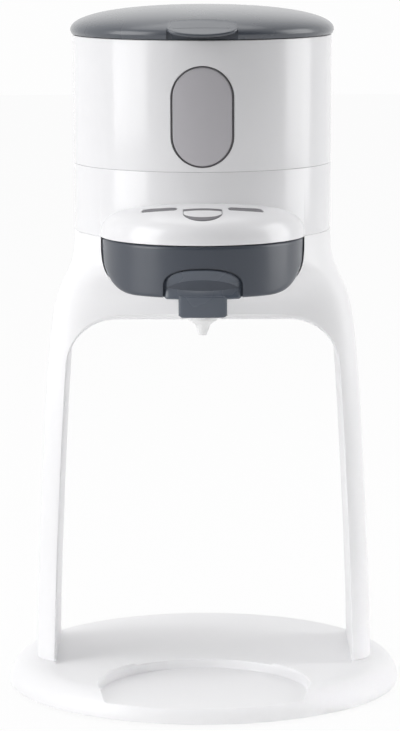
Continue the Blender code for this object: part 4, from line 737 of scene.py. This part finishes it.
class WARMER_OT_head(bpy.types.Operator):
    """The round head with its brow over the drawer, the top deck and its port"""

    bl_idname = "warmer.head"
    bl_label = "Head"

    def execute(self, context):
        outside = rounded(
            [(30, HEAD_TOP), (TANK_R_LOW, HEAD_TOP), (SEAM_R, HEAD_LOW), (SEAM_R - 6, HEAD_LOW)],
            (0.35, 0.25), 6)
        body = revolve("head_body", np.concatenate([[(0, HEAD_TOP)], outside, [(0, HEAD_LOW)]]))
        dome = dome_line(DRAWER_R, HEAD_LOW, BROW_HIGH, BROW_SQUARE, 48)
        brow = revolve("brow", np.concatenate([dome, [(0, HEAD_LOW)]]), (0.0, DRAWER_Y))
        under = HEAD_LOW - 2
        hollow = revolve("hollow", [
            (0, HEAD_TOP - WALL), (SEAM_R - WALL, HEAD_TOP - WALL), (SEAM_R - WALL, under), (0, under)])
        inner = dome_line(DRAWER_R - WALL, HEAD_LOW, BROW_HIGH - WALL, BROW_SQUARE, 24)
        brow_hollow = revolve(
            "brow_hollow", np.concatenate([inner, [(DRAWER_R - WALL, under), (0, under)]]), (0.0, DRAWER_Y))
        port_r = PORT_R + PORT_ROOM
        port = revolve("port", rounded(
            [(0, HEAD_TOP + 2), (PORT_R + 2.5, HEAD_TOP + 2), (port_r, HEAD_TOP - 0.6), (port_r, HEAD_TOP - 5),
             (0, HEAD_TOP - 5)], (0, 0.5, 0)), (0.0, PORT_Y), 96)
        steps = [(ADD, brow), (CUT, hollow), (CUT, brow_hollow), (CUT, port)]
        for loop in key_loops(HOLE_GAP, HOLE_WIDE).values():
            steps.append((CUT, prism("key_hole", loop, HEAD_LOW + KEY_ROOM, HEAD_TOP)))
        combine(body, *steps)
        dress(body, "stand", "white", "gloss_white", "head_shell")
        return {"FINISHED"}


class WARMER_OT_keys(bpy.types.Operator):
    """The three keys in the brow"""

    bl_idname = "warmer.keys"
    bl_label = "Keys"

    def execute(self, context):
        proud = size("key_proud")
        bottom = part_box("key_centre")[0][2] / MM

        def key_tile(name, loop):
            """A cushion-edged tile just over the brow."""
            return tile(
                name, even_loop(loop, 120), lambda u, v: brow_z(u, v, proud), level(bottom), KEY_EDGE,
                lambda grid: grid, 16)

        for word, loop in key_loops(0.0, KEY_WIDE).items():
            name, body = "key_" + word, word + "_key"
            # Each grey strip is partly the slim key's own grey and partly painted shade of its grooves; the
            # centre one, cut to a rim round the white cap, is painted groove shade flush with the cap.
            made = key_tile(name + "_strip", loop)
            if word != "centre":
                dress(made, body, "key_grey", "key_grey", name)
                continue
            combine(made, (CUT, prism("cap_room", key_loops(0.0, CAP_ROOM)[word], bottom - 2, HEAD_TOP)))
            cap = key_tile(name + "_cap", key_loops(CAP_GAP, CAP_WIDE)[word])
            dress(cap, body, "white", "gloss_white", name)
            dress(made, body, "key_grey", "key_grey")
        return {"FINISHED"}


class WARMER_OT_tank(bpy.types.Operator):
    """The water tank with its window opening, collar and hinge ears"""

    bl_idname = "warmer.tank"
    bl_label = "Tank"

    def execute(self, context):
        floor = TANK_LOW + WALL
        wall = rounded([
            (20, floor), (TANK_R_LOW - WALL, floor), (TANK_R_TOP - WALL, TANK_TOP), (TANK_R_TOP, TANK_TOP),
            (TANK_R_LOW, TANK_LOW), (20, TANK_LOW)], (3.0, 0.5, 0.5, 0.35), 7)
        body = revolve("tank_body", np.concatenate([[(0, floor)], wall, [(0, TANK_LOW)]]))
        window = prism("window", window_loop(0.0), -80, -30, "y")
        collar = revolve("collar", rounded(
            [(0, TANK_LOW + 1), (PORT_R, TANK_LOW + 1), (PORT_R, COLLAR_LOW), (0, COLLAR_LOW)], (0, 0.6)),
            (0.0, PORT_Y), 96)
        under = COLLAR_LOW - 2
        outlet = revolve(
            "outlet", [(0, floor + 2), (OUTLET_R, floor + 2), (OUTLET_R, under), (0, under)], (0.0, PORT_Y), 96)
        steps = [(CUT, window), (ADD, collar), (CUT, outlet)]
        root = TANK_R_TOP - WALL / 2
        crown = arc_points((HINGE_Y, HINGE_Z), EAR_R, 0, 180, 24)
        ear = np.concatenate([crown, [(root, TANK_TOP - EAR_R), (root, TANK_TOP - 15)]])
        for sign in (-1, 1):
            low, high = sorted((sign * (KNUCKLE_HALF + GAP), sign * (KNUCKLE_HALF + GAP + EAR_THICK)))
            steps.append((ADD, prism("ear", ear, low, high, "x", 0.5)))
        steps.append((CUT, hinge_rod("pin_hole", PIN_HOLE_R, PIN_HOLE_HALF)))
        combine(body, *steps)
        dress(body, "tank", "white", "gloss_white", "tank")
        return {"FINISHED"}


class WARMER_OT_window(bpy.types.Operator):
    """The window's lens and the seal round it"""

    bl_idname = "warmer.window"
    bl_label = "Window"

    def execute(self, context):
        place = round_wall((TANK_R_LOW + TANK_R_TOP) / 2, 0.0)
        lens = tile(
            "window_pane", even_loop(window_loop(LENS_INSET), 160), level(LENS_FACE), level(LENS_REAR),
            LENS_EDGE, place)
        dress(lens, "tank", "window_grey", "window_grey", "window_lens")
        loop = anticlockwise(even_loop(window_loop(RIM_INSET), 200))
        normal = loop_normals(loop)
        a = np.linspace(0, TURN, 12, endpoint=False)
        width = RIM_HALF_WIDE * np.cos(a)
        grid = np.empty((len(loop), len(a), 3))
        grid[..., :2] = loop[:, None] + normal[:, None] * width[None, :, None]
        grid[..., 2] = RIM_HALF_OUT * np.sin(a) - RIM_SUNK
        rim = grid_solid("window_rim", place(grid), "join", "join")
        dress(rim, "tank", "dark_seal", "rim_grey", "window_gasket")
        return {"FINISHED"}


class WARMER_OT_lid(bpy.types.Operator):
    """The domed lid with its thumb lip, the recess under it and the hinge knuckle"""

    bl_idname = "warmer.lid"
    bl_label = "Lid"

    def execute(self, context):
        dome = dome_line(LID_R, LID_WIDE, LID_HIGH - LID_WIDE, LID_SQUARE, 48)
        skirt, skirt_low = TANK_R_TOP - WALL - GAP, LID_LOW - SKIRT_DEPTH
        inside = skirt - SKIRT_WALL
        ceiling = dome_line(inside, LID_WIDE, LID_HIGH - LID_WIDE - LID_WALL, LID_SQUARE, 24)
        edge = rounded(
            [dome[-1], (LID_EDGE_R, LID_LOW), (skirt, LID_LOW), (skirt, skirt_low), (inside, skirt_low),
             ceiling[-1]], (0.4, 0.3, 0.4, 0.4), 5)
        body = revolve("lid_body", np.concatenate([dome[:-1], edge, ceiling[::-1][1:]]))
        notch = box("notch", (-TAB_HALF, -75, LID_LOW - 2), (TAB_HALF, NOTCH_Y, LID_HIGH))
        shave, lip = self.lip()
        knuckle = hinge_rod("knuckle", KNUCKLE_R, KNUCKLE_HALF, 0.4)
        steps = [(CUT, shave), (CUT, notch), (ADD, lip), (ADD, knuckle)]
        for sign in (-1, 1):
            low, high = sorted((sign * KNUCKLE_HALF, sign * (KNUCKLE_HALF + EAR_THICK + 2 * GAP)))
            steps.append((CUT, box(
                "ear_room", (low, HINGE_Y - EAR_R - GAP, LID_LOW - 2), (high, 75, LID_HIGH + 2))))
        steps.append((CUT, hinge_rod("bore", PIN_HOLE_R, PIN_HOLE_HALF)))
        combine(body, *steps)
        # Its finish is the slate made lighter: painted light for the sheen on its crown.
        dress(body, "lid", "slate", "lid_slate", "lid", sharp=38)
        return {"FINISHED"}

    def lip(self):
        """The thumb lip and what it shaves off the dome: for each place across, a closed loop of top, round
        nose and underside. Its edge bulges forwards and dips in the middle as a half ellipse, and its top
        leaves the dome smoothly and ends in a straight slope."""
        across = np.linspace(-1, 1, 61) * (TAB_HALF - 0.1)
        bulge = np.sqrt(np.clip(1 - (across / TAB_HALF) ** 2, 0, 1))
        nose_y = LIP_Y - LIP_REACH * bulge
        nose_z = LIP_Z - LIP_DIP * bulge
        root_y = np.full(len(across), LIP_ROOT)
        v = np.linspace(0, 1, 30)[:, None]
        y = root_y + (nose_y - root_y) * v
        dome = dome_height(across[None], y, 0.0, LID_R, LID_WIDE, LID_HIGH - LID_WIDE, LID_SQUARE)
        straight = nose_z + LIP_END + LIP_SLOPE * (y - nose_y)
        weight = eased(v / LIP_BLEND)
        top = (1 - weight) * (dome + LIP_SKIN) + weight * straight
        above = np.concatenate([top, np.full((2, len(across)), LID_HIGH + 4)])
        above_y = np.concatenate([y, nose_y[None], root_y[None]])
        grid = np.stack([np.broadcast_to(across, above.shape), above_y, above], axis=-1)
        shave = grid_solid("shave", grid.transpose(1, 0, 2))
        top = top - LIP_SKIN - LIP_SINK * (1 - v) ** 2
        a = np.radians(np.linspace(80, -80, 9))[:, None]
        back = np.linspace(0.05, 1, 8)[:, None]
        ys = np.concatenate([y, nose_y - NOSE_OUT * np.cos(a), nose_y + (root_y - nose_y) * back])
        zs = np.concatenate([
            top, nose_z + NOSE_HALF * np.sin(a), nose_z - NOSE_HALF + (LIP_UNDER - nose_z) * back**0.8])
        grid = np.stack([np.broadcast_to(across, ys.shape), ys, zs], axis=-1)
        return shave, grid_solid("lip", grid.transpose(1, 0, 2))


class WARMER_OT_drawer(bpy.types.Operator):
    """The drawer's front, its grip with a tongue, and the nozzle"""

    bl_idname = "warmer.drawer"
    bl_label = "Drawer"

    def execute(self, context):
        self.front()
        self.grip()
        nozzle = revolve("nozzle_body", rounded(NOZZLE, NOZZLE_ROUND, 6)[:-1], (0.0, DRAWER_Y), 96, True)
        dress(nozzle, "drawer", "pale_silicone", "silicone", "nozzle")
        self.tray()
        return {"FINISHED"}

    def front(self):
        """The drawer's front with the grip's opening and its backing. Its sides end in runs straight back."""
        place = round_wall(FACE_R, FACE_Y)
        flat = even_loop(bay_loop(0.0, DRAWER_HIGH), 900)
        flat[:, 0] = along_face(flat[:, 0])
        past = eased((np.abs(flat[:, 0]) - SIDE_FROM) / SIDE_OVER)
        flat[:, 0] += np.sign(flat[:, 0]) * SIDE_BACK * past
        front = tile(
            "drawer_face", even_loop(flat, 360), level(0.0), level(-FACE_THICK), size("fascia_edge"), place, 30)
        opening = prism("grip_opening", pad_loop(PAD_OPENING), -90, -40, "y")
        behind = even_loop(pad_loop(BACKING_RIM, BACKING_RIM), 200)
        behind[:, 0] = along_face(behind[:, 0])
        behind[:, 1] = np.maximum(behind[:, 1], FACE_LOW + BACKING_LOW)
        backing = tile("backing", behind, level(BACKING_FACE), level(BACKING_REAR), 0.1, place, 6)
        combine(front, (CUT, opening), (ADD, backing))
        dress(front, "drawer", "slate", "slate", "drawer_front")

    def grip(self):
        """The grip: a dished pad and the tongue under it."""
        depth = size("dish_depth")

        def face(u, v):
            """The round wall, dished in its upper part and swelling to a lip below: the depth times a power of
            the share from below, a power of the share from above, and a little less towards the sides."""
            up = np.clip((v - PAD_LOW) / (PAD_TOP - PAD_LOW), 0, 1)
            below = np.clip(up / DISH_BELOW, 0, 1) ** DISH_BELOW_POWER
            above = np.clip((1 - up) / DISH_ABOVE, 0, 1) ** DISH_ABOVE_POWER
            across = 1 - DISH_BOW * (u / PAD_HALF) ** 2
            return round_front(FACE_R, FACE_Y)(u, v) - depth * (below * above) * across

        pad = tile(
            "grip_pad", even_loop(pad_loop(PAD_INSET, PAD_CORNER), 200), face,
            round_front(DRAWER_R - PAD_THICK, DRAWER_Y, PAD_PROUD), PAD_EDGE, face_out, 30)
        right = rounded(
            [(0, TONGUE_LOW), (TONGUE_HALF, TONGUE_LOW), (TONGUE_HALF, TONGUE_TOP), (0, TONGUE_TOP)],
            (TONGUE_CORNER, 0), 8)
        loop = np.concatenate([right, right[::-1][1:-1] * (-1, 1)])
        tongue = tile(
            "tongue", even_loop(loop, 160), round_front(DRAWER_R, DRAWER_Y),
            round_front(DRAWER_R - TONGUE_THICK, DRAWER_Y), TONGUE_EDGE, face_out, 20)
        combine(pad, (ADD, tongue))
        # Its finish is the slate made lighter: painted light on the pad and tongue.
        dress(pad, "drawer", "slate", "grip_slate", "drawer_grip")

    def tray(self):
        """The model's own tray, its wings drawn in to the width of the face."""
        node = frame["nodes"]["drawer_tray"]
        made = scene_object("tray_body", node.data.copy())
        made.data.transform(node.matrix_world)
        half = FACE_R * MM
        move_points(made.data, lambda co: np.column_stack([np.clip(co[:, 0], -half, half), co[:, 1:]]))
        dress(made, "drawer", "slate", "slate", "drawer_tray")


class WARMER_OT_finishes(bpy.types.Operator):
    """Finishes for the model's own nodes that stay in view"""

    bl_idname = "warmer.finishes"
    bl_label = "Finishes"

    def execute(self, context):
        for row in frame["record"]["subparts"]:
            node = frame["nodes"][row["node"]]
            if node.hide_render:
                continue
            node.data.materials.clear()
            slot = row["material_slot"]
            node.data.materials.append(finish(SLOT_FINISH.get(slot, slot)))
        return {"FINISHED"}


class WARMER_OT_stage(bpy.types.Operator):
    """The floor, the soft lights, the surroundings and the camera"""

    bl_idname = "warmer.stage"
    bl_label = "Stage"

    def execute(self, context):
        self.floor()
        self.surroundings()
        for lamp in LAMPS:
            self.lamp(*lamp)
        self.camera()
        return {"FINISHED"}

    def floor(self):
        """A pale floor that is near white where it is seen, directly, mirrored or through something."""
        corners = np.array([(-1, -1, 0), (1, -1, 0), (1, 1, 0), (-1, 1, 0)])
        floor = mesh_object("floor", corners * FLOOR_HALF, [[0, 1, 2, 3]])
        made, tree, shader = new_material("pale_floor")
        shader.inputs["Base Color"].default_value = (FLOOR_GREY, FLOOR_GREY, FLOOR_GREY, 1)
        shader.inputs["Roughness"].default_value = FLOOR_ROUGH
        path = add_node(tree, "LightPath").outputs
        seen = largest(tree, path["Is Camera Ray"], path["Is Glossy Ray"], path["Is Transmission Ray"])
        share = add_node(tree, "Math", {0: seen, 1: FLOOR_GLOW}, operation="MULTIPLY")
        glow = add_node(tree, "Emission", {"Strength": 1.0})
        mix = add_node(tree, "MixShader", {0: share.outputs[0], 1: shader.outputs[0], 2: glow.outputs[0]})
        tree.links.new(mix.outputs[0], tree.nodes["Material Output"].inputs["Surface"])
        floor.data.materials.append(made)

    def surroundings(self):
        """Soft light with a dim side, and near white where it is seen directly or through something."""
        world = bpy.data.worlds.new("surroundings")
        bpy.context.scene.world = world
        world.use_nodes = True
        tree = world.node_tree
        path = add_node(tree, "LightPath").outputs
        seen = largest(tree, path["Is Camera Ray"], path["Is Transmission Ray"])
        place = add_node(tree, "TexCoord").outputs["Generated"]
        along = add_node(tree, "VectorMath", {0: place, 1: DARK_SIDE}, operation="DOT_PRODUCT")
        shade = add_node(tree, "MapRange", {
            "From Min": DARK_FROM, "From Max": DARK_FULL, "To Min": 1.0, "To Max": 0.0,
            "Value": along.outputs["Value"]}, interpolation_type="SMOOTHSTEP").outputs["Result"]
        plain = add_node(tree, "Background", {"Color": shade, "Strength": WORLD_LIGHT})
        bright = add_node(tree, "Background", {"Color": largest(tree, shade, seen), "Strength": WORLD_SEEN})
        kind = largest(tree, seen, path["Is Glossy Ray"])
        mix = add_node(tree, "MixShader", {0: kind, 1: plain.outputs[0], 2: bright.outputs[0]})
        tree.links.new(mix.outputs[0], tree.nodes["World Output"].inputs["Surface"])

    def lamp(self, name, place, size, power, target, spread):
        """A rectangular lamp turned to its target. A narrow one isn't mirrored in the pieces."""
        data = bpy.data.lights.new(name, "AREA")
        data.spread = math.radians(spread)
        data.shape = "RECTANGLE"
        data.size, data.size_y = size
        data.energy = power
        made = scene_object(name, data)
        made.visible_camera = False
        made.visible_glossy = spread > 90
        made.location = place
        aim = np.array(target) - np.array(place)
        down = math.atan2(math.hypot(aim[0], aim[1]), -aim[2])
        made.rotation_euler = (down, 0, math.atan2(-aim[0], aim[1]))

    def camera(self):
        """The camera that was fitted to the photograph."""
        data = bpy.data.cameras.new("view")
        data.lens = VIEW_LENS
        data.sensor_width = VIEW_SENSOR
        made = scene_object("view", data)
        made.location = VIEW_PLACE
        made.rotation_euler = (math.radians(90 - VIEW_DOWN), math.radians(VIEW_ROLL), 0.0)
        bpy.context.scene.camera = made


OPERATORS = (
    WARMER_OT_base, WARMER_OT_arch, WARMER_OT_head, WARMER_OT_keys, WARMER_OT_tank, WARMER_OT_window,
    WARMER_OT_lid, WARMER_OT_drawer, WARMER_OT_finishes, WARMER_OT_stage,
)


class WARMER_PT_panel(bpy.types.Panel):
    """Lists the pieces of the bottle warmer"""

    bl_idname = "WARMER_PT_panel"
    bl_label = "Bottle warmer"
    bl_space_type = "VIEW_3D"
    bl_region_type = "UI"
    bl_category = "Warmer"

    def draw(self, context):
        for operator in OPERATORS:
            self.layout.operator(operator.bl_idname)
        for group in (context.scene.warmer_sizes, context.scene.warmer_colours):
            for name in group.__annotations__:
                self.layout.prop(group, name)


CLASSES = (WarmerColours, WarmerSizes, *OPERATORS, WARMER_PT_panel)


def register():
    """Registers the classes and puts the panel's values on the scene."""
    for cls in CLASSES:
        bpy.utils.register_class(cls)
    bpy.types.Scene.warmer_colours = bpy.props.PointerProperty(type=WarmerColours)
    bpy.types.Scene.warmer_sizes = bpy.props.PointerProperty(type=WarmerSizes)


def unregister():
    """Takes back what register did."""
    del bpy.types.Scene.warmer_sizes
    del bpy.types.Scene.warmer_colours
    for cls in reversed(CLASSES):
        bpy.utils.unregister_class(cls)


def main():
    """Builds every piece by its operator."""
    register()
    bpy.context.scene.view_settings.view_transform = "Standard"
    for operator in OPERATORS:
        group, name = operator.bl_idname.split(".")
        getattr(getattr(bpy.ops, group), name)()


if __name__ == "__main__":
    main()
